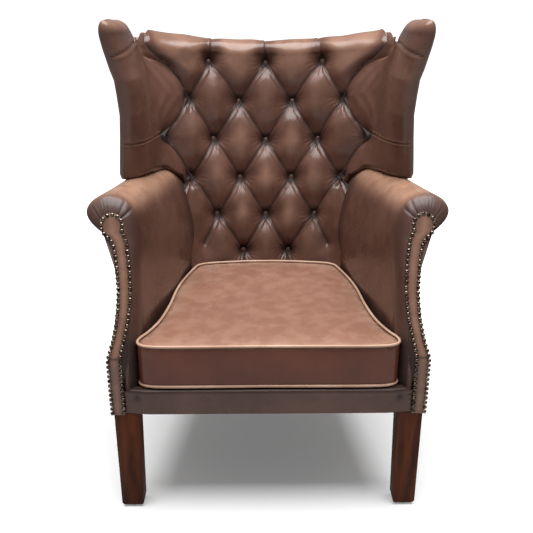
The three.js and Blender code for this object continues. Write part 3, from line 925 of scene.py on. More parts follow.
# %% The joint with the back, as heights and distances along the wall
SEAM_HEIGHTS = []
SEAM_ARCS = []
for column, row in reversed(WING_JOINT):
    arc = column * pitch(max(row, ROLL_ROW))
    SEAM_HEIGHTS.append(float(FIRST_ROW_Z - ROW_HEIGHT * row + row_lift(row, x_at_arc(arc))))
    SEAM_ARCS.append(float(arc))
print("wing joint runs from", round(SEAM_HEIGHTS[0]), "to", round(SEAM_HEIGHTS[-1]), "mm up")

# %% Folds in the wing covers
EAR_SEAM = [(0, 1002), (110, 1020), (330, 1018)]  # distance from the front edge, height
DOUBLE_SEAM = [(0, 800), (150, 790), (330, 772)]
STITCH_OFFSET = 4.5  # distance of each row of stitches from the double seam's middle


def wing_detail(rings, columns, rows):
    """The joint's pleat, the ear's seam, the double seam and soft folds, over the inner faces."""
    z = rings[..., 2]
    steps = np.linalg.norm(np.diff(rings[..., :2], axis=1), axis=-1)
    along = np.concatenate([np.zeros((len(rings), 1)), np.cumsum(steps, 1)], 1)
    from_front = along[:, -1:] - along
    gap = joint_gap(columns, rows)
    beside = np.concatenate([gap, np.full((len(rings), z.shape[1] - gap.shape[1]), FAR_FROM_JOINT)], 1)
    pit = np.zeros_like(z)
    pit[:, : gap.shape[1]] = pits(columns, rows)
    push = np.where(beside > 0, PLEAT_DEPTH * (pillow(beside, 70) - 1), -PLEAT_DEPTH - 0.95 * np.abs(beside))
    push -= (BUTTON_DEPTH - PLEAT_DEPTH) * pit
    corner = hump(beside - 45, 30) * smoothstep(780, 860, z) * smoothstep(1040, 960, z)
    push += 0.8 * corner * np.sin(beside / 5.2 + z / 60)
    ear = z - read_table(EAR_SEAM, from_front)
    push += -2.8 * hump(ear, 2.6) + 1.2 * hump(ear + 8, 5)
    twin = z - read_table(DOUBLE_SEAM, from_front)
    push += -1.8 * hump(twin, 2.0) + 0.8 * hump(np.abs(twin) - STITCH_OFFSET, 2.2)
    # Painted shade along the joint's pleat, in the button pits and in the seams.
    fold_shade = 0.8 * np.exp(-((np.maximum(beside, 0) / 2.6) ** 1.2)) + 0.95 * smoothstep(0.22, 0.72, pit)
    fold_shade += 0.6 * hump(ear, 1.8) + 0.5 * hump(twin, 1.5)
    return push, np.clip(fold_shade, 0, 0.95)


def wing_rings():
    row, full = wing_rows()
    inner, columns, rows = inner_face(row, full)
    front = front_edge(row, full)
    inside = np.concatenate([inner, front[:, :CHEEK_STEPS]], 1)
    push, fold_shade = wing_detail(inside, columns, rows)
    normal = grid_normals(inside)
    normal *= np.sign(-normal[SIDE_ROWS // 2, INNER_STEPS, 0])
    push *= smoothstep(0.0, 0.35, full)[:, None]
    inside = inside + normal * push[..., None]
    rings = np.concatenate([inside, front[:, CHEEK_STEPS:], outer_face(row, full)], 1)
    # Painted shade on the inner faces only.
    folds = np.zeros(rings.shape[:2])
    folds[:, : fold_shade.shape[1]] = fold_shade
    return rings, folds


wing_points, wing_fold_shade = wing_rings()
# A painted highlight along the top roll and the ear's ridge.
ridge = np.zeros(wing_points.shape[:2])
ridge[SIDE_ROWS:, :] = np.sin(np.linspace(0.2, math.pi / 2, CAP_ROWS))[:, None]
wing_ridge_sheen = 0.35 * ridge
wing_pads = {}
for side, points in (("right", wing_points), ("left", mirrored(wing_points))):
    wing_pads[side] = loft(f"wing_cover_{side}", points, hide_leather, wing_fold_shade, wing_ridge_sheen)
print("wing cover:", len(wing_pads["right"].data.polygons), "faces")

# %% [markdown]
# ## Arms
# The inside arm is one hide that starts under the cushion, climbs the inside, rolls over the scroll and
# ends under its outer lip. Its outline is known at the front and where it meets the back, so the rings
# between are mixed from the two. At the front the hide turns through a quarter circle and is gathered
# onto the line of nails, which makes the small pleats round the scroll.

# %% Arm outlines
KINK = 391  # height at which the arm's front stops being upright
ARM_RAKE = 0.38  # and how far it leans back for each millimetre above that
SCROLL = [
    (281, 300), (281, 391), (280, 500), (280, 590), (281, 645), (290, 682), (311, 708),
    (338, 719), (366, 717), (388, 704), (398, 686), (391, 668), (372, 656), (354, 652.5),
]
SCROLL_HIDDEN = [(350, 662), (340, 676), (316, 668), (306, 640), (304, 500), (304, 300)]
REAR = [
    (192, 300), (188, 391), (186, 493), (192, 549), (207, 609), (226, 650), (248, 680),
    (272, 692), (290, 688), (300, 677), (303, 662), (301, 650), (297, 642), (291, 635.5),
]
REAR_HIDDEN = [(288, 640), (280, 652), (262, 648), (244, 625), (232, 500), (228, 300)]
NAIL_LINE = [
    (321, 300), (321, 391), (301.5, 490), (304, 595), (314, 645), (318, 673), (328, 682),
    (339, 685), (351, 681), (359, 673), (362, 662), (360, 653), (356, 646), (349, 641),
]
ARM_STEPS = 120
HIDDEN_STEPS = 14
ROUND_STEPS = 12
DEPTH_STEPS = 56
ROUND_DEPTH = 27  # depth of the rounded front edge at the scroll
ROUND_EXTRA = 34  # and how much deeper it is lower down the inside
REAR_REACH = 28  # how far the inside of the cover runs on into the back's padding
REAR_TUCK = 4  # and how far all of it does
REAR_SHIFT = 6  # the inside's rear moves out by this much beside the cushion
FRONT_PROUD = 2  # the gathered edge lies this far in front of the arm's board
SHARP_PLEATS = (0.405, 0.455)  # places along the outline


def arm_front(z):
    """Depth of the arm's front at a height."""
    return np.maximum(0, z - KINK) * ARM_RAKE


def outline(points, steps):
    flat = [(x, 0, z) for x, z in points]
    return smooth_path(flat, steps)


def mitre(x, z):
    """Depth of the slanted joint between the back pad and the arm beside it."""
    half = back_half(z)
    rear_half = half + 48 - 0.035 * (z - BACK_HALF_LEVEL)
    front = back_surface(half, z)
    rear = behind_back(rear_half, z, 60)
    return np.minimum(front + (x - half) / (rear_half - half) * (rear - front), rear)


# %% Arm rings
def arm_rings():
    shown = [outline(points, ARM_STEPS) for points in (SCROLL, REAR, NAIL_LINE)]
    hidden = [outline(points, HIDDEN_STEPS) for points in (SCROLL_HIDDEN, REAR_HIDDEN, SCROLL_HIDDEN)]
    front, rear, nailed = (np.vstack(pair) for pair in zip(shown, hidden))
    low = np.ones(len(front))
    low[:ARM_STEPS] = smoothstep(0.46, 0.28, np.linspace(0, 1, ARM_STEPS))
    inner = np.zeros(len(front))
    inner[:ARM_STEPS] = smoothstep(0.62, 0.42, np.linspace(0, 1, ARM_STEPS))
    rear[:, 0] += REAR_SHIFT * low * inner
    round_depth = ROUND_DEPTH + ROUND_EXTRA * low
    start = arm_front(front[:, 2]) + round_depth - FRONT_PROUD
    end = mitre(rear[:, 0], rear[:, 2]) + REAR_TUCK + REAR_REACH * inner
    rings = []
    for angle in np.linspace(math.pi / 2, 0, ROUND_STEPS + 1)[:-1]:
        ring = front + (nailed - front) * (1 - math.cos(angle))
        ring[:, 1] = arm_front(ring[:, 2]) + round_depth * (1 - math.sin(angle)) - FRONT_PROUD
        rings.append(ring)
    for share in np.linspace(0, 1, DEPTH_STEPS):
        ring = front + (rear - front) * share
        ring[:, 1] = start + (end - start) * share
        rings.append(ring)
    return np.array(rings)


def arm_detail(rings):
    """Gathers round the scroll's front, a soft sag along the arm and a tuck against the back."""
    count, around = rings.shape[:2]
    normal = grid_normals(rings)
    normal *= np.sign(-normal[count // 2, ARM_STEPS // 3, 0])
    along = np.linspace(0, 1, ARM_STEPS)
    where = np.arange(count)
    head = smoothstep(0.36, 0.5, along) * smoothstep(1.02, 0.96, along)
    reach = hump(where - 3, 4.5)[:, None] * head[None, :]
    phase = along * 215 + 1.7 * np.sin(along * 41) + 0.06 * where[:, None]
    gathers = np.sin(phase) * (0.55 + 0.45 * np.sin(along * 63 + 2))
    push = np.zeros((count, around))
    push[:, :ARM_STEPS] = 0.5 * reach * gathers
    sharp = np.zeros((count, ARM_STEPS))
    for at in SHARP_PLEATS:
        line = hump(along[None, :] - at - 0.0012 * where[:, None], 0.006)
        sharp += line * smoothstep(13, 6, where)[:, None]
    push[:, :ARM_STEPS] -= 2.6 * sharp
    last = smoothstep(count - 9, count - 3, where)[:, None]
    wave = np.sin(where[:, None] / 9 + along[None, :] * 9) * np.sin(where[:, None] / 15 + 4 * along)
    push[:, :ARM_STEPS] += 0.9 * wave * smoothstep(12, 22, where)[:, None]
    # Painted shade in the gathers' hollows, the sharp pleats, round the front edge, in the tuck against the
    # back and low beside the cushion.
    fold_shade = np.zeros((count, around))
    fold_shade[:, :ARM_STEPS] = 0.32 * reach * np.clip(-gathers, 0, 1) + 0.6 * np.clip(sharp, 0, 1)
    fold_shade[:, :ARM_STEPS] += 0.6 * last + 0.45 * smoothstep(15, 6, where)[:, None]
    fold_shade[:, :ARM_STEPS] += 0.7 * smoothstep(440, 405, rings[:, :ARM_STEPS, 2]) * (along < 0.3)
    # Wear with a painted highlight along the top of the scroll.
    top = smoothstep(0.34, 0.46, along) * smoothstep(0.84, 0.66, along)
    rub_and_sheen = np.zeros((count, around))
    rub_and_sheen[:, :ARM_STEPS] = 0.85 * top[None, :] * smoothstep(5, 17, where)[:, None]
    return rings + normal * push[..., None], np.clip(fold_shade, 0, 0.9), rub_and_sheen


rings, arm_fold_shade, arm_rub_and_sheen = arm_detail(arm_rings())
arm_pads = {}
for side, points in (("right", rings), ("left", mirrored(rings))):
    arm_pads[side] = loft(f"arm_cover_{side}", points, hide_leather, arm_fold_shade, arm_rub_and_sheen)
print("arm cover:", len(arm_pads["right"].data.polygons), "faces")

# %% [markdown]
# ## Panels that close the arms, the wings and the back
# The narrow facing on each arm front, the outside arms, the outside wings and the outside back are
# hides stretched over card and a little wadding. Each is a loft of flat rings with softly rounded edges.

# %% Facing of the arm front
FACING_ROWS = [253, 297, 391, 414, 429, 469, 500, 530, 571, 601, 620, 631, 639]
FACING_INNER = [321.5, 322, 322, 318, 314, 305, 301, 299, 301, 304, 306.5, 308.5, 310.5]
FACING_OUTER = [347, 348, 349, 342, 337, 329, 326, 325, 328, 331, 335, 339, 345]
HEAD_X = 339
HEAD_Z = 662
HEAD_RADIUS = 23
FACING_ACROSS = 11
PANELS_LOW = 254  # height of the panels' bottom edges
FACING_NECK = 640  # where the strip turns into its round head
FACING_PROUD = 2.6
FACING_CROWN = 1.6


def facing_edges(z):
    """The facing's two edges at a height, with the round head let in at the top."""
    inner = np.interp(z, FACING_ROWS, FACING_INNER)
    outer = np.interp(z, FACING_ROWS, FACING_OUTER)
    reach = np.sqrt(np.maximum(HEAD_RADIUS**2 - (z - HEAD_Z) ** 2, 0.5))
    in_head = smoothstep(636, 652, z)
    inner = inner + (HEAD_X - reach - inner) * in_head
    return inner, outer + (HEAD_X + reach - outer) * smoothstep(638, 646, z)


def facing_rings():
    body = np.linspace(PANELS_LOW, FACING_NECK, 150)
    head = HEAD_Z + HEAD_RADIUS * np.sin(np.linspace(-0.95, 1.54, 40))
    z = np.concatenate([body, head[head > FACING_NECK + 1]])
    inner, outer = facing_edges(z)
    share = np.linspace(0, 1, FACING_ACROSS)
    x = inner[:, None] + (outer - inner)[:, None] * share
    crown = FACING_CROWN * np.sin(math.pi * share) ** 0.6
    pinch = hump(z - KINK, 3)[:, None]
    front = arm_front(z)[:, None] - FACING_PROUD - crown + 2.0 * pinch
    face = np.stack([x, front, np.repeat(z[:, None], FACING_ACROSS, 1)], -1)
    back = face[:, ::-1].copy()
    back[..., 1] = arm_front(z)[:, None] + 0.4
    # Painted shade in the crease at the kink; wear with a painted highlight, strongest along the strip's
    # middle.
    fold_shade = np.concatenate([0.6 * pinch + 0 * x, 0 * x], 1)
    ridge = hump(share - 0.5, 0.2)[None, :]
    rub_and_sheen = np.concatenate([0.25 + 0.3 * ridge + 0 * x, 0 * x], 1)
    return np.concatenate([face, back], 1), fold_shade, rub_and_sheen


rings, facing_fold_shade, facing_rub_and_sheen = facing_rings()
facings = {}
for side, points in (("right", rings), ("left", mirrored(rings))):
    facings[side] = loft(f"arm_facing_cover_{side}", points, hide_leather, facing_fold_shade, facing_rub_and_sheen)
print("facing:", len(facings["right"].data.polygons), "faces")

# %% Outside arm and outside wing
PANEL_STEPS = 34
PANEL_BULGE = 3.0
OUTSIDE_ARM_HALF = [
    (253, 347), (391, 350), (409, 345), (429, 336), (449, 331), (490, 326),
    (530, 323), (571, 329), (611, 339), (631, 344), (652, 354),
]
ARM_PANEL_FRONT = 10  # the panel starts this far behind the arm's front
ARM_PANEL_REAR = 86
WING_PANEL_FRONT = (706, 1042)  # heights of the panel's ends along the wing's front edge
WING_PANEL_BACK = (684, 985)  # and along the back's corner
WING_PANEL_SETBACK = 42
WING_PANEL_REAR = 88


def rounded_panel(edge, rear, corner):
    """Rings of a panel: its plan runs from a front edge to a rear edge, with a soft front corner."""
    share = np.linspace(0, 1, PANEL_STEPS) ** 1.25
    outer = edge[:, None] + (rear - edge)[:, None] * share[None, :, None]
    outer[..., 0] += PANEL_BULGE * np.sin(math.pi * np.clip(share, 0, 1)) ** 0.8
    turn = np.linspace(0, math.pi / 2, 7)[:-1]
    front = np.repeat(outer[:, :1], len(turn), 1)
    front[..., 0] -= corner * (1 - np.sin(turn))
    front[..., 1] -= corner * np.cos(turn)
    inner = outer[:, ::-1].copy()
    inner[..., 0] -= PANEL_THICK
    return np.concatenate([front, outer, inner], 1)


def outside_arm_rings():
    z = np.concatenate([np.linspace(PANELS_LOW, 630, 95), np.linspace(633, 652, 10)])
    half = read_table(OUTSIDE_ARM_HALF, z) + 6 * smoothstep(395, 440, z) * smoothstep(650, 600, z)
    edge = np.stack([half, arm_front(z) + ARM_PANEL_FRONT, z], -1)
    corner = rear_corner(z)
    lower = z - 18 * smoothstep(560, 652, z)
    rear = np.stack([corner, behind_back(corner, z, ARM_PANEL_REAR), lower], -1)
    return rounded_panel(edge, rear, corner=10)


def outside_wing_rings():
    share = np.linspace(0, 1, 80)
    front = WING_PANEL_FRONT[0] + (WING_PANEL_FRONT[1] - WING_PANEL_FRONT[0]) * share
    back = WING_PANEL_BACK[0] + (WING_PANEL_BACK[1] - WING_PANEL_BACK[0]) * share
    depth, half = wing_edge(front)
    edge = np.stack([half + 2, depth + WING_PANEL_SETBACK, front], -1)
    corner = rear_corner(back)
    rear = np.stack([corner, behind_back(corner, back, WING_PANEL_REAR), back], -1)
    return rounded_panel(edge, rear, corner=3)


outside_panels = {}
for name, rings in (("outside_arm", outside_arm_rings()), ("outside_wing", outside_wing_rings())):
    for side, points in (("right", rings), ("left", mirrored(rings))):
        outside_panels[f"{name}_{side}"] = loft(f"{name}_cover_{side}", points, hide_leather)
print("outside panels:", sorted(outside_panels))

# %% Outside back
OUTSIDE_BACK_TOP = 972
OUTSIDE_BACK_ARCH = 36  # how much higher its top edge is at the sides
OUTSIDE_BACK_FACE = 91  # distances behind the back's face
OUTSIDE_BACK_LINING = 88
OUTSIDE_BACK_CROWN = 4.5


def outside_back_rings():
    across = np.linspace(-1, 1, 81)
    up = np.linspace(0, 1, 70)
    z = PANELS_LOW + (OUTSIDE_BACK_TOP - PANELS_LOW) * up[:, None]
    z = z + OUTSIDE_BACK_ARCH * (up[:, None] * across[None, :]) ** 2
    x = across[None, :] * (rear_corner(z) - 0.5)
    softness = OUTSIDE_BACK_CROWN * (1 - across[None, :] ** 8) * smoothstep(0, 0.03, up[:, None]) + 0 * x
    low = 4 * smoothstep(430, 330, z)
    rear = behind_back(x, z, OUTSIDE_BACK_FACE) + low + softness * smoothstep(1, 0.97, up[:, None])
    face = np.stack([x, rear, z], -1)
    lining = face[:, ::-1].copy()
    lining[..., 1] = behind_back(x, z, OUTSIDE_BACK_LINING)[:, ::-1]
    return np.concatenate([face, lining], 1)


outside_back = loft("outside_back_cover", outside_back_rings(), hide_leather)
print("outside back:", len(outside_back.data.polygons), "faces")

# %% [markdown]
# ## The front of the seat
# A strip of leather covers the front rail and tucks in behind the arm fronts. Above it a padded lip
# keeps the cushion from sliding forward. Both run from arm to arm.

# %% Rail cover and lip
RAIL_HALF = 321
RAIL_PROFILE = [  # depth, height
    (3, 254), (-1.5, 254), (-3.5, 257), (-4, 270), (-4.5, 285), (-6, 296), (-8, 303),
    (-8.5, 309), (-7, 314), (-2, 316.5), (6, 316.8), (14, 316.6), (14, 300), (4, 298),
]
RAIL_PULL_X = 290  # where the cover is pulled in towards each arm
LIP_HALF = 278
LIP_PROFILE = [(9, 300), (16, 316.5), (30, 316.5), (33, 312), (33, 307)]  # depth, height


def rail_rings():
    x = np.linspace(-RAIL_HALF, RAIL_HALF, 120)
    curve = smooth_path([(0, y, z) for y, z in RAIL_PROFILE], 56)
    rings = np.repeat(curve[None], len(x), 0)
    rings[..., 0] = x[:, None]
    ends = smoothstep(262, 318, np.abs(x))[:, None]
    rings[..., 1] += ends * 6 * (rings[..., 1] < 5)
    pull = hump(np.abs(x)[:, None] - RAIL_PULL_X, 9) * hump(rings[..., 2] - 296, 11)
    rings[..., 1] += 3.2 * pull * (rings[..., 1] < 5)
    sag = 0.9 * np.sin(x / 37)[:, None] * hump(rings[..., 2] - 285, 18)
    rings[..., 1] += sag * (rings[..., 1] < 4)
    # Painted shade where the cover is pulled in at each arm and along its top under the lip.
    fold_shade = np.clip(0.8 * pull + 0.75 * smoothstep(304, 315, rings[..., 2]), 0, 0.85)
    return rings, fold_shade


rings, rail_fold_shade = rail_rings()
rail_cover = loft("rail_cover_hide", rings, hide_leather, rail_fold_shade)
lip = np.array([[(x, y, z) for y, z in LIP_PROFILE] for x in np.linspace(-LIP_HALF, LIP_HALF, 40)])
front_roll = loft("front_edge_padding", lip, hide_leather)
print("rail cover:", len(rail_cover.data.polygons), "faces")

# %% [markdown]
# ## The loose cushion
# A feather and foam cushion is a flat case blown up by its filling, so it is made that way. A plain
# slab of the case's outline is cut into small cells and given to Blender's cloth solver. The two seams
# are pinned, and a gentle pressure swells the panels between them. The filling's weight would press the
# bottom flat on the deck, which a short rule does once the solver has run. Piping is laid along the
# seams afterwards, because remeshing would melt it.

# %% Cushion case
CUSHION_LOW = 323.5
CUSHION_HIGH = 419
CUSHION_EDGE = [
    (0, -2), (120, -3), (225, -3), (262, 0), (281, 9), (288, 24), (285, 42), (268, 78), (250, 137),
    (237, 223), (229, 317), (217, 388), (194, 474), (184, 495), (162, 507), (120, 515), (60, 522), (0, 524),
]
CUSHION_CELL = 0.006
CUSHION_PRESSURE = 4.0
CUSHION_SWELL = 0.028  # no point moves farther than this
CUSHION_FRAMES = 20
CASE_STIFFNESS = 12
CASE_BENDING = 2.5
PIN_REACH = 0.0055  # points this near to a seam are held
DECK_LEVEL = 318.4
DECK_GIVE = 0.006


def cushion_outline(step):
    right = [(x, y, 0) for x, y in CUSHION_EDGE]
    left = [(-x, y, 0) for x, y in reversed(CUSHION_EDGE[1:-1])]
    rough = smooth_path(right + left + right[:1], 600)[:-1]
    return even_path(rough, step, closed=True)


seam_plan = cushion_outline(6.0)
print("cushion outline:", len(seam_plan), "points")


# %% Slab, cells and pressure
def slab_mesh():
    """A plain closed slab between the two seams."""
    work = bmesh.new()
    loops = []
    for level in (CUSHION_LOW, CUSHION_HIGH):
        ring = seam_plan.copy()
        ring[:, 2] = level
        loops.append([work.verts.new(p) for p in to_frame(ring)])
    low, top = loops
    work.faces.new(list(reversed(low)))
    work.faces.new(top)
    for i in range(len(low)):
        j = (i + 1) % len(low)
        work.faces.new((low[i], low[j], top[j], top[i]))
    mesh = bpy.data.meshes.new("cushion_slab")
    work.to_mesh(mesh)
    work.free()
    return mesh


def evaluated_mesh(piece):
    """The piece with its modifiers applied, as a plain mesh."""
    graph = bpy.context.evaluated_depsgraph_get()
    return bpy.data.meshes.new_from_object(piece.evaluated_get(graph))


def vertex_array(mesh):
    """The mesh's points as an array, in metres."""
    flat = np.zeros(len(mesh.vertices) * 3)
    mesh.vertices.foreach_get("co", flat)
    return flat.reshape(-1, 3)


def distance_to_outline(points):
    """How far each point lies from the case's outline, seen from above."""
    path = to_frame(seam_plan)[:, :2]
    return np.array([np.hypot(*(path - point[:2]).T).min() for point in points])


def inflate(piece):
    """Pins the seams, blows the case up and caps how far any point may move."""
    start = vertex_array(piece.data)
    plan_gap = distance_to_outline(start)
    seam_z = np.minimum(np.abs(start[:, 2] - CUSHION_HIGH * MM), np.abs(start[:, 2] - CUSHION_LOW * MM))
    pinned = (plan_gap < PIN_REACH) & (seam_z < PIN_REACH)
    group = piece.vertex_groups.new(name="seams")
    group.add(np.nonzero(pinned)[0].tolist(), 1.0, "REPLACE")
    solver = piece.modifiers.new("case", "CLOTH")
    solver.settings.use_pressure = True
    solver.settings.uniform_pressure_force = CUSHION_PRESSURE
    solver.settings.vertex_group_mass = "seams"
    solver.settings.effector_weights.gravity = 0
    solver.settings.tension_stiffness = CASE_STIFFNESS
    solver.settings.compression_stiffness = CASE_STIFFNESS
    solver.settings.bending_stiffness = CASE_BENDING
    solver.point_cache.frame_start = 1
    solver.point_cache.frame_end = CUSHION_FRAMES
    for number in range(1, CUSHION_FRAMES + 1):
        bpy.context.scene.frame_set(number)
    swollen = vertex_array(evaluated_mesh(piece))
    piece.modifiers.remove(solver)
    bpy.context.scene.frame_set(1)
    move = swollen - start
    length = np.linalg.norm(move, axis=1, keepdims=True)
    eased = CUSHION_SWELL * np.tanh(length / CUSHION_SWELL)
    return start, start + move / np.maximum(length, 1e-9) * eased, plan_gap


# %% Make the cushion
cushion_piece = bpy.data.objects.new("seat_cushion_case", slab_mesh())
bpy.context.collection.objects.link(cushion_piece)
cells = cushion_piece.modifiers.new("cells", "REMESH")
cells.mode = "VOXEL"
cells.voxel_size = CUSHION_CELL * 1
cushion_piece.data = evaluated_mesh(cushion_piece)
cushion_piece.modifiers.remove(cells)
print("cushion cells:", len(cushion_piece.data.polygons))
at_rest, swollen, seam_gap = inflate(cushion_piece)
deck = DECK_LEVEL * MM
squashed = swollen[:, 2] < deck + DECK_GIVE
swollen[squashed, 2] = deck + DECK_GIVE * np.exp((swollen[squashed, 2] - deck - DECK_GIVE) / DECK_GIVE)
print("cushion crown:", round(float(swollen[:, 2].max() / MM), 1), "mm above the floor")

# %% Painted shade, wear and painted highlight on the cushion
cushion_piece.data.vertices.foreach_set("co", swollen.astype(np.float32).ravel())
cushion_piece.data.update()
height = at_rest[:, 2] / MM
beside_seam = hump(np.minimum(np.abs(height - CUSHION_HIGH), np.abs(height - CUSHION_LOW)), 4.5)
beside_seam *= seam_gap < 0.010
on_top = height > CUSHION_HIGH - 4
side_depth = smoothstep(0.10, 0.45, (at_rest[:, 1] + DEPTH_CENTRE * MM))
# Painted shade beside the seams and on the sides towards the rear; the top is paler with wear and painted
# highlight.
cushion_fold_shade = 0.35 * beside_seam + 0.55 * side_depth * (~on_top) * (np.abs(at_rest[:, 0]) > 0.19)
cushion_rub_and_sheen = on_top * (0.5 + 0.3 * hump(seam_gap, 0.03))
set_numbers(cushion_piece.data, "fold_shade", np.clip(cushion_fold_shade, 0, 0.9))
set_numbers(cushion_piece.data, "rub_and_sheen", cushion_rub_and_sheen)
cushion_piece = finish_mesh("seat_cushion_cover", cushion_piece.data, seat_hide)
bpy.data.objects.remove(bpy.data.objects["seat_cushion_case"])
smoother = cushion_piece.modifiers.new("smooth", "SUBSURF")
smoother.levels = 1
smoother.render_levels = 1
print("cushion cover:", len(cushion_piece.data.polygons), "faces before smoothing")

# %% [markdown]
# ## Piping
# Piping is a cord wrapped in a strip of hide and sewn into a seam. Here it is a round section carried
# along the seam's path. A curve with a bevel would do the same, but a loft keeps it one clean mesh.

# %% Piping helper
PIPING_RADIUS = 3.2
PIPING_INSET = 1.2
CUSHION_MIDDLE = 262  # depth of the cushion's middle
WELT_RADIUS = 3.6


def piping(name, path, radius, material, closed=True, sides=12):
    """A round cord along a path in chair millimetres."""
    path = np.array(path, float)
    if closed:
        heading = unit(np.roll(path, -1, 0) - np.roll(path, 1, 0))
    else:
        heading = unit(np.gradient(path, axis=0))
    up = np.zeros_like(path)
    up[:, 2] = 1
    flat = np.abs(heading[:, 2:]) > 0.9
    up = np.where(flat, np.array([0, 1.0, 0]), up)
    side = unit(np.cross(heading, up))
    top = unit(np.cross(side, heading))
    turn = np.linspace(0, 2 * math.pi, sides, endpoint=False)
    ring = side[:, None] * np.cos(turn)[None, :, None] + top[:, None] * np.sin(turn)[None, :, None]
    rings = path[:, None] + radius * ring
    if not closed:
        return loft(name, rings, material)
    count = len(path)
    faces = ring_quads(count + 1, sides) % (count * sides)
    mesh = bpy.data.meshes.new(name)
    mesh.from_pydata(to_frame(rings.reshape(-1, 3)).tolist(), [], faces.tolist())
    for label in ("fold_shade", "rub_and_sheen"):
        set_numbers(mesh, label, np.zeros(count * sides))
    return finish_mesh(name, mesh, material)


cushion_piping = []
for name, level in (("cushion_piping_top", CUSHION_HIGH + 1.5), ("cushion_piping_bottom", CUSHION_LOW - 0.2)):
    path = even_path(seam_plan, 4.0, closed=True)
    centre = np.array([0, CUSHION_MIDDLE, 0])
    spread = unit((path - centre) * np.array([1, 1, 0]))
    path = path - spread * PIPING_INSET
    path[:, 2] = level
    cushion_piping.append(piping(name, path, PIPING_RADIUS, piping_hide))
print("cushion piping:", len(cushion_piping), "runs")

# %% Welt round the outside back
welt_z = np.linspace(256, 996, 160)
welt_half = rear_corner(welt_z)
right_welt = np.stack([welt_half + 0.5, behind_back(welt_half, welt_z, 93), welt_z], -1)
across = np.linspace(1, -1, 120)[1:-1]
top_z = OUTSIDE_BACK_TOP + 24 * across**2
top_x = across * rear_corner(top_z)
top_welt = np.stack([top_x, behind_back(top_x, top_z, 92), top_z], -1)
left_welt = mirrored(right_welt[::-1])
welt_path = even_path(np.vstack([right_welt, top_welt, left_welt]), 5)
back_welt = piping("outside_back_welt", welt_path, WELT_RADIUS, hide_leather, closed=False, sides=10)
print("welt:", len(welt_path), "steps")

# %% [markdown]
# ## Nails, buttons and stitches
# These repeat by rule, so Geometry Nodes place them. Each tree takes a path or a set of points, sets a
# small shape on every point, turns it to face the way the surface does, and makes it real. The nails
# follow one line that climbs the inside of the facing, rounds the scroll and comes down the outside.

# %% Geometry Nodes helpers
def new_tree(name, inputs):
    tree = bpy.data.node_groups.new(name, "GeometryNodeTree")
    tree.interface.new_socket("Geometry", in_out="INPUT", socket_type="NodeSocketGeometry")
    tree.interface.new_socket("Geometry", in_out="OUTPUT", socket_type="NodeSocketGeometry")
    for label, kind in inputs:
        tree.interface.new_socket(label, in_out="INPUT", socket_type=kind)
    return tree


def geo(tree, kind, settings=None, **links):
    """Adds a node; each link is a socket to join, or a plain value to set."""
    node = tree.nodes.new(kind)
    for key, value in (settings or {}).items():
        setattr(node, key, value)
    for key, value in links.items():
        socket = node.inputs[key.replace("_", " ")]
        if isinstance(value, bpy.types.NodeSocket):
            tree.links.new(value, socket)
        else:
            socket.default_value = value
    return node


def run_tree(name, host, tree, values):
    """Evaluates the tree on a host mesh and keeps the result as a plain piece."""
    modifier = host.modifiers.new("make", "NODES")
    modifier.node_group = tree
    for item in tree.interface.items_tree:
        if item.in_out == "INPUT" and item.name in values:
            modifier[item.identifier] = values[item.name]
    mesh = evaluated_mesh(host)
    host.modifiers.remove(modifier)
    bpy.data.objects.remove(host)
    piece = bpy.data.objects.new(name, mesh)
    mesh.name = name
    bpy.context.collection.objects.link(piece)
    print(name, "has", len(mesh.polygons), "faces")
    return piece


def host_mesh(points, facing, joined):
    """Points in chair millimetres, joined into a path if asked, that remember which way they face."""
    mesh = bpy.data.meshes.new("host")
    edges = [(i, i + 1) for i in range(len(points) - 1)] if joined else []
    mesh.from_pydata(to_frame(points).tolist(), edges, [])
    store = mesh.attributes.new("facing", "FLOAT_VECTOR", "POINT")
    store.data.foreach_set("vector", np.asarray(facing, np.float32).ravel())
    host = bpy.data.objects.new("host", mesh)
    bpy.context.collection.objects.link(host)
    return host


# %% Trees for domes and stitches
FLOAT = "NodeSocketFloat"


def spaced_points(tree, given):
    """Points at the wanted spacing along the path that comes in."""
    path = geo(tree, "GeometryNodeMeshToCurve", Mesh=given["Geometry"])
    cut = geo(tree, "GeometryNodeResampleCurve", {"mode": "LENGTH"}, Curve=path.outputs[0])
    tree.links.new(given["Spacing"], cut.inputs["Length"])
    return cut.outputs[0]


def set_on_points(tree, given, points, shape, turn, size):
    """Sets the shape on every point, makes the copies real and gives them their finish."""
    placed = geo(
        tree,
        "GeometryNodeInstanceOnPoints",
        Points=points,
        Instance=shape.outputs[0],
        Rotation=turn.outputs[0],
        Scale=size.outputs[0],
    )
    real = geo(tree, "GeometryNodeRealizeInstances", Geometry=placed.outputs[0])
    soft = geo(tree, "GeometryNodeSetShadeSmooth", Geometry=real.outputs[0])
    done = geo(tree, "GeometryNodeSetMaterial", Geometry=soft.outputs[0], Material=given["Finish"])
    tree.links.new(done.outputs[0], tree.nodes.new("NodeGroupOutput").inputs[0])


def dome_tree(name, on_path, segments, ring_count):
    labels = [("Radius", FLOAT), ("Height", FLOAT), ("Spacing", FLOAT), ("Finish", "NodeSocketMaterial")]
    tree = new_tree(name, labels)
    given = tree.nodes.new("NodeGroupInput").outputs
    points = spaced_points(tree, given) if on_path else given["Geometry"]
    facing = geo(tree, "GeometryNodeInputNamedAttribute", {"data_type": "FLOAT_VECTOR"}, Name="facing")
    turn = geo(tree, "FunctionNodeAlignRotationToVector", {"axis": "Z"}, Vector=facing.outputs[0])
    ball = geo(tree, "GeometryNodeMeshUVSphere", Segments=segments, Rings=ring_count, Radius=1.0)
    size = geo(tree, "ShaderNodeCombineXYZ", X=given["Radius"], Y=given["Radius"], Z=given["Height"])
    set_on_points(tree, given, points, ball, turn, size)
    return tree


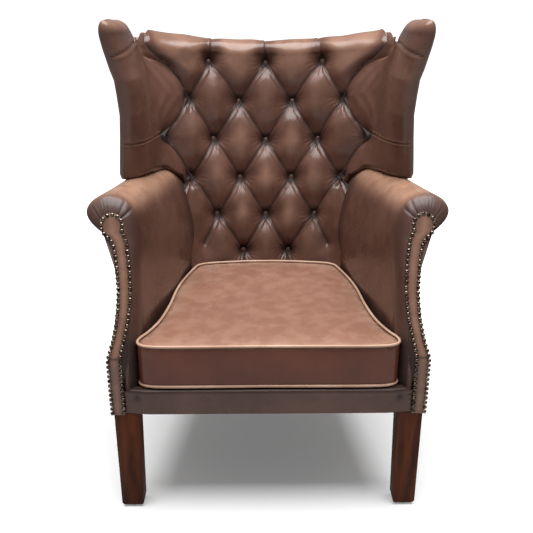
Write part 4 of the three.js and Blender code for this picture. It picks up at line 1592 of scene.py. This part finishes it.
def stitch_tree(name):
    labels = [("Length", FLOAT), ("Thickness", FLOAT), ("Spacing", FLOAT), ("Finish", "NodeSocketMaterial")]
    tree = new_tree(name, labels)
    given = tree.nodes.new("NodeGroupInput").outputs
    points = spaced_points(tree, given)
    heading = geo(tree, "GeometryNodeInputTangent")
    turn = geo(tree, "FunctionNodeAlignRotationToVector", {"axis": "X"}, Vector=heading.outputs[0])
    bead = geo(tree, "GeometryNodeMeshUVSphere", Segments=6, Rings=4, Radius=1.0)
    size = geo(tree, "ShaderNodeCombineXYZ", X=given["Length"], Y=given["Thickness"], Z=given["Thickness"])
    set_on_points(tree, given, points, bead, turn, size)
    return tree


nail_maker = dome_tree("nails_on_a_path", True, 10, 6)
button_maker = dome_tree("buttons_on_points", False, 28, 14)
stitch_maker = stitch_tree("stitches_on_a_path")
print("trees:", [tree.name for tree in bpy.data.node_groups])

# %% Nails
NAIL_RADIUS = 4.8
NAIL_HEIGHT = 3.4
NAIL_SPACING = 11.5
NAIL_LOWEST = 258
NAIL_SEAT = 3.6  # the nails' middles lie this far in front of the arm's board


def nail_path():
    """Up the facing's inner edge, round its head and down the outer edge."""
    z = np.linspace(NAIL_LOWEST, FACING_NECK, 140)
    inner, outer = facing_edges(z)
    up = np.stack([inner, 0 * z, z], -1)
    down = np.stack([outer, 0 * z, z], -1)[::-1]
    turn = np.linspace(math.pi * 1.12, -math.pi * 0.24, 50)
    head = np.stack([HEAD_X + HEAD_RADIUS * np.cos(turn), 0 * turn, HEAD_Z + HEAD_RADIUS * np.sin(turn)], -1)
    path = np.vstack([up[:-3], head, down[4:]])
    path[:, 1] = arm_front(path[:, 2]) - NAIL_SEAT
    facing = np.zeros_like(path)
    facing[:, 1] = -1
    facing[:, 2] = np.where(path[:, 2] > KINK, ARM_RAKE, 0)
    return path, facing


path, facing = nail_path()
nails = []
for side, flip in (("right", 1), ("left", -1)):
    host = host_mesh(path * np.array([flip, 1, 1]), facing, joined=True)
    sizes = {
        "Radius": NAIL_RADIUS * MM,
        "Height": NAIL_HEIGHT * MM,
        "Spacing": NAIL_SPACING * MM,
        "Finish": brass,
    }
    nails.append(run_tree(f"nails_{side}", host, nail_maker, sizes))

# %% Buttons
BUTTON_RADIUS = 8.5
BUTTON_HEIGHT = 5
BUTTON_SUNK = 39  # below the plain cover

spots = []
faces_out = []
for column, row in buttons:
    i = int(round((column + COLUMN_REACH) * 2 * CELLS))
    j = int(np.argmin(np.abs(rows_line - row)))
    normal = outward[i, j]
    spots.append(base[i, j] - normal * BUTTON_SUNK)
    faces_out.append(normal)
host = host_mesh(np.array(spots), np.array(faces_out), joined=False)
sizes = {"Radius": BUTTON_RADIUS * MM, "Height": BUTTON_HEIGHT * MM, "Spacing": 1.0, "Finish": hide_leather}
back_buttons = run_tree("back_buttons", host, button_maker, sizes)

# %% Stitches
STITCH_LENGTH = 2.1
STITCH_THICK = 0.55
STITCH_SPACING = 5.6
STITCH_START = 46  # ring points left out next to the joint

stitches = []
inside = wing_points[:SIDE_ROWS, : INNER_STEPS + CHEEK_STEPS]
gaps = np.linalg.norm(np.diff(inside[SIDE_ROWS // 4, :, :2], axis=0), axis=-1)
from_front = np.concatenate([np.cumsum(gaps[::-1])[::-1], [0]])
for label, offset in (("upper", STITCH_OFFSET), ("lower", -STITCH_OFFSET)):
    level = read_table(DOUBLE_SEAM, from_front) + offset
    line = []
    for k in range(STITCH_START, inside.shape[1]):
        line.append([np.interp(level[k], inside[:, k, 2], inside[:, k, axis]) for axis in range(3)])
    line = np.array(line)
    for side, flip in (("right", 1), ("left", -1)):
        host = host_mesh(line * np.array([flip, 1, 1]), np.zeros_like(line), joined=True)
        sizes = {
            "Length": STITCH_LENGTH * MM,
            "Thickness": STITCH_THICK * MM,
            "Spacing": STITCH_SPACING * MM,
            "Finish": thread,
        }
        stitches.append(run_tree(f"wing_stitches_{label}_{side}", host, stitch_maker, sizes))

# %% [markdown]
# ## Legs, deck and the cloth underneath
# The CAD legs have the right shape but knife-sharp edges, so each gets a copy with its loose triangles
# merged and a small bevel. The deck under the cushion and the dust cover under the frame are thin cloths.

# %% Legs
LEG_BEVEL = 1.6
FLAT_ANGLE = 0.02  # faces that turn less than this, in radians, become one


def bevelled(node, name, material):
    """A copy of a CAD node with its edges eased."""
    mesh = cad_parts[node].data.copy()
    work = bmesh.new()
    work.from_mesh(mesh)
    bmesh.ops.remove_doubles(work, verts=work.verts, dist=SAME_POINT)
    bmesh.ops.dissolve_limit(work, angle_limit=FLAT_ANGLE, verts=work.verts, edges=work.edges)
    bmesh.ops.recalc_face_normals(work, faces=work.faces)
    work.to_mesh(mesh)
    work.free()
    mesh.name = name
    mesh.materials.clear()
    mesh.materials.append(material)
    mesh.shade_smooth()
    piece = bpy.data.objects.new(name, mesh)
    bpy.context.collection.objects.link(piece)
    edge = piece.modifiers.new("eased edges", "BEVEL")
    edge.width = LEG_BEVEL * MM
    edge.segments = 3
    edge.harden_normals = True
    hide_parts(node)
    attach(piece, "chair")
    return piece


legs = []
for end in ("front", "rear"):
    for side in ("left", "right"):
        legs.append(bevelled(f"{end}_leg_{side}", f"{end}_leg_{side}_turned", walnut))
print("legs:", [leg.name for leg in legs])


# %% Deck cloth and dust cover
DECK_PLAN = [(279, 33), (205, 560)]  # half-width, depth
DUST_PLAN = [(286, 8), (286, 60), (214, 609)]
CLOTH_CELLS = 24
CLOTH_THICK = 1.0


def cloth_plate(name, plan, level, sag, material):
    """A thin cloth over a plan with straight sides, given as half-widths at depths."""
    depth = np.array([p[1] for p in plan], float)
    half = np.array([p[0] for p in plan], float)
    y = np.linspace(depth[0], depth[-1], CLOTH_CELLS + 1)
    width = np.interp(y, depth, half)
    across = np.linspace(-1, 1, CLOTH_CELLS + 1)
    x = width[:, None] * across
    z = level - sag * (1 - across[None, :] ** 2) * np.sin(math.pi * (y - y[0]) / (y[-1] - y[0]))[:, None]
    top = np.stack([x, np.repeat(y[:, None], CLOTH_CELLS + 1, 1), z], -1)
    under = top[:, ::-1].copy()
    under[..., 2] -= CLOTH_THICK
    return loft(name, np.concatenate([top, under], 1), material)


deck_piece = cloth_plate("seat_deck_cloth", DECK_PLAN, 316.8, 1.2, deck_cloth)
dust_piece = cloth_plate("dust_cover_cloth", DUST_PLAN, 255.2, 2.0, cambric)
print("cloths:", deck_piece.name, dust_piece.name)

# %% [markdown]
# ## Joining the pieces to the frame
# Each cover and cloth hides the CAD node it stands for, and every piece rides on a body. Only
# the cushion and its piping ride on the cushion body; all the rest ride on the chair.

# %% Finishes of the CAD pieces that stay
def dress(prefix, material):
    for name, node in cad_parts.items():
        if name.startswith(prefix):
            for index in range(len(node.material_slots)):
                node.material_slots[index].material = material


for prefix in ("front_rail", "back_rail", "side_rail", "front_corner", "rear_corner", "arm_stump",
               "arm_board", "top_rail", "lower_back", "wing_frame"):
    dress(prefix, beech)
dress("back_post", hide_leather)  # the posts' tops show at the rear corners, so they are wrapped
dress("seat_spring", steel)
dress("back_strap", webbing)
dress("front_glide", nylon)
dress("rear_glide", nylon)
print("dressed the frame, the springs, the straps and the glides")


# %% Padded covers
def cover(piece, node, body="chair"):
    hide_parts(node)
    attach(piece, body)


cover(inside_back, "inside_back")
cover(outside_back, "outside_back")
cover(rail_cover, "rail_cover")
cover(front_roll, "front_edge_roll")
for side in ("left", "right"):
    cover(wing_pads[side], f"wing_pad_{side}")
    cover(arm_pads[side], f"arm_pad_{side}")
    cover(facings[side], f"arm_facing_{side}")
    cover(outside_panels[f"outside_arm_{side}"], f"outside_arm_{side}")
    cover(outside_panels[f"outside_wing_{side}"], f"outside_wing_{side}")
cover(cushion_piece, "seat_cushion", "cushion")

# %% Trims and cloths
for piece in cushion_piping:
    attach(piece, "cushion")
for piece in (back_welt, back_buttons):
    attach(piece, "chair")
for piece in nails:
    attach(piece, "chair")
for piece in stitches:
    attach(piece, "chair")
for piece, node, slot in (
    (deck_piece, "seat_deck", "deck_cloth"),
    (dust_piece, "dust_cover", "black_cambric"),
):
    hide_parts(node)
    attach(piece, "chair")


# %% [markdown]
# ## Floor and light
# A pale floor under soft studio light. One large panel overhead makes the tops of the arms and the seat
# glow, and the white surroundings fill the shadows.

# %% Floor
GLOW_NEAR = 0.22  # metres from the chair's middle at which the floor starts to brighten
GLOW_FAR = 1.5
GLOW_LOW = 0.11
GLOW_HIGH = 0.97
FLOOR_PALE = (0.9, 0.9, 0.9, 1)
FLOOR_BOUNCE = (0.4, 0.4, 0.4, 1)  # what the floor sends back up to the chair
BOUNCE_GLOW = 0.2

floor_mesh = bpy.data.meshes.new("floor")
floor_mesh.from_pydata([(-9, -6, 0), (9, -6, 0), (9, 14, 0), (-9, 14, 0)], [], [(0, 1, 2, 3)])
floor = bpy.data.objects.new("floor", floor_mesh)
bpy.context.collection.objects.link(floor)
paper = Network("paper_floor")
paper.shade(Roughness=0.9, Emission_Color=(1, 1, 1, 1))
reach = paper.add("ShaderNodeVectorMath", {"operation": "LENGTH"})
paper.set(reach.inputs[0], paper.place)
glow = paper.ramp(reach.outputs["Value"], GLOW_NEAR, GLOW_FAR, GLOW_LOW, GLOW_HIGH)
looked_at = paper.add("ShaderNodeLightPath").outputs["Is Camera Ray"]
paper.shade(Base_Color=paper.blend(looked_at, FLOOR_BOUNCE, FLOOR_PALE))
paper.shade(Emission_Strength=paper.sum("MULTIPLY", glow, paper.ramp(looked_at, 0, 1, BOUNCE_GLOW, 1.0)))
floor_mesh.materials.append(paper.material)
floor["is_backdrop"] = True
print("floor laid")


# %% Lights
PANEL_PLACE = (0, -0.25, 3.0)
PANEL_TARGET = (0, -0.05, 0.4)
PANEL_SIZE = (3.0, 2.3)
PANEL_POWER = 175
SKY_FILL = 0.24  # strength of the surroundings where the camera doesn't look at them directly


def panel_light(name, place, target, size, power):
    data = bpy.data.lights.new(name, "AREA")
    data.shape = "RECTANGLE"
    data.size, data.size_y = size
    data.energy = power
    lamp = bpy.data.objects.new(name, data)
    lamp.location = place
    aim = Vector(target) - Vector(place)
    lamp.rotation_euler = aim.to_track_quat("-Z", "Y").to_euler()
    bpy.context.collection.objects.link(lamp)


panel_light("overhead", PANEL_PLACE, PANEL_TARGET, PANEL_SIZE, PANEL_POWER)
world = bpy.data.worlds.new("studio")
bpy.context.scene.world = world
world.use_nodes = True
sky = world.node_tree
backdrop = sky.nodes["Background"]
backdrop.inputs["Color"].default_value = (1, 1, 1, 1)
seen = sky.nodes.new("ShaderNodeLightPath").outputs["Is Camera Ray"]
strength = sky.nodes.new("ShaderNodeMapRange")
strength.inputs["To Min"].default_value = SKY_FILL
strength.inputs["To Max"].default_value = 1.0
sky.links.new(seen, strength.inputs["Value"])
sky.links.new(strength.outputs["Result"], backdrop.inputs["Strength"])
bpy.context.scene.view_settings.view_transform = "Standard"
print("lights set")

# %% [markdown]
# ## Size of the chair
# The covers may stand a little proud of the CAD model, but not more, so both boxes are gathered and the box
# round the looks is printed.

# %% Size
looks_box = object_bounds()
sizes = {"cad": [list(corner) for corner in cad_box], "looks": [list(corner) for corner in looks_box]}
print("looks box:", [[round(v, 3) for v in corner] for corner in looks_box])
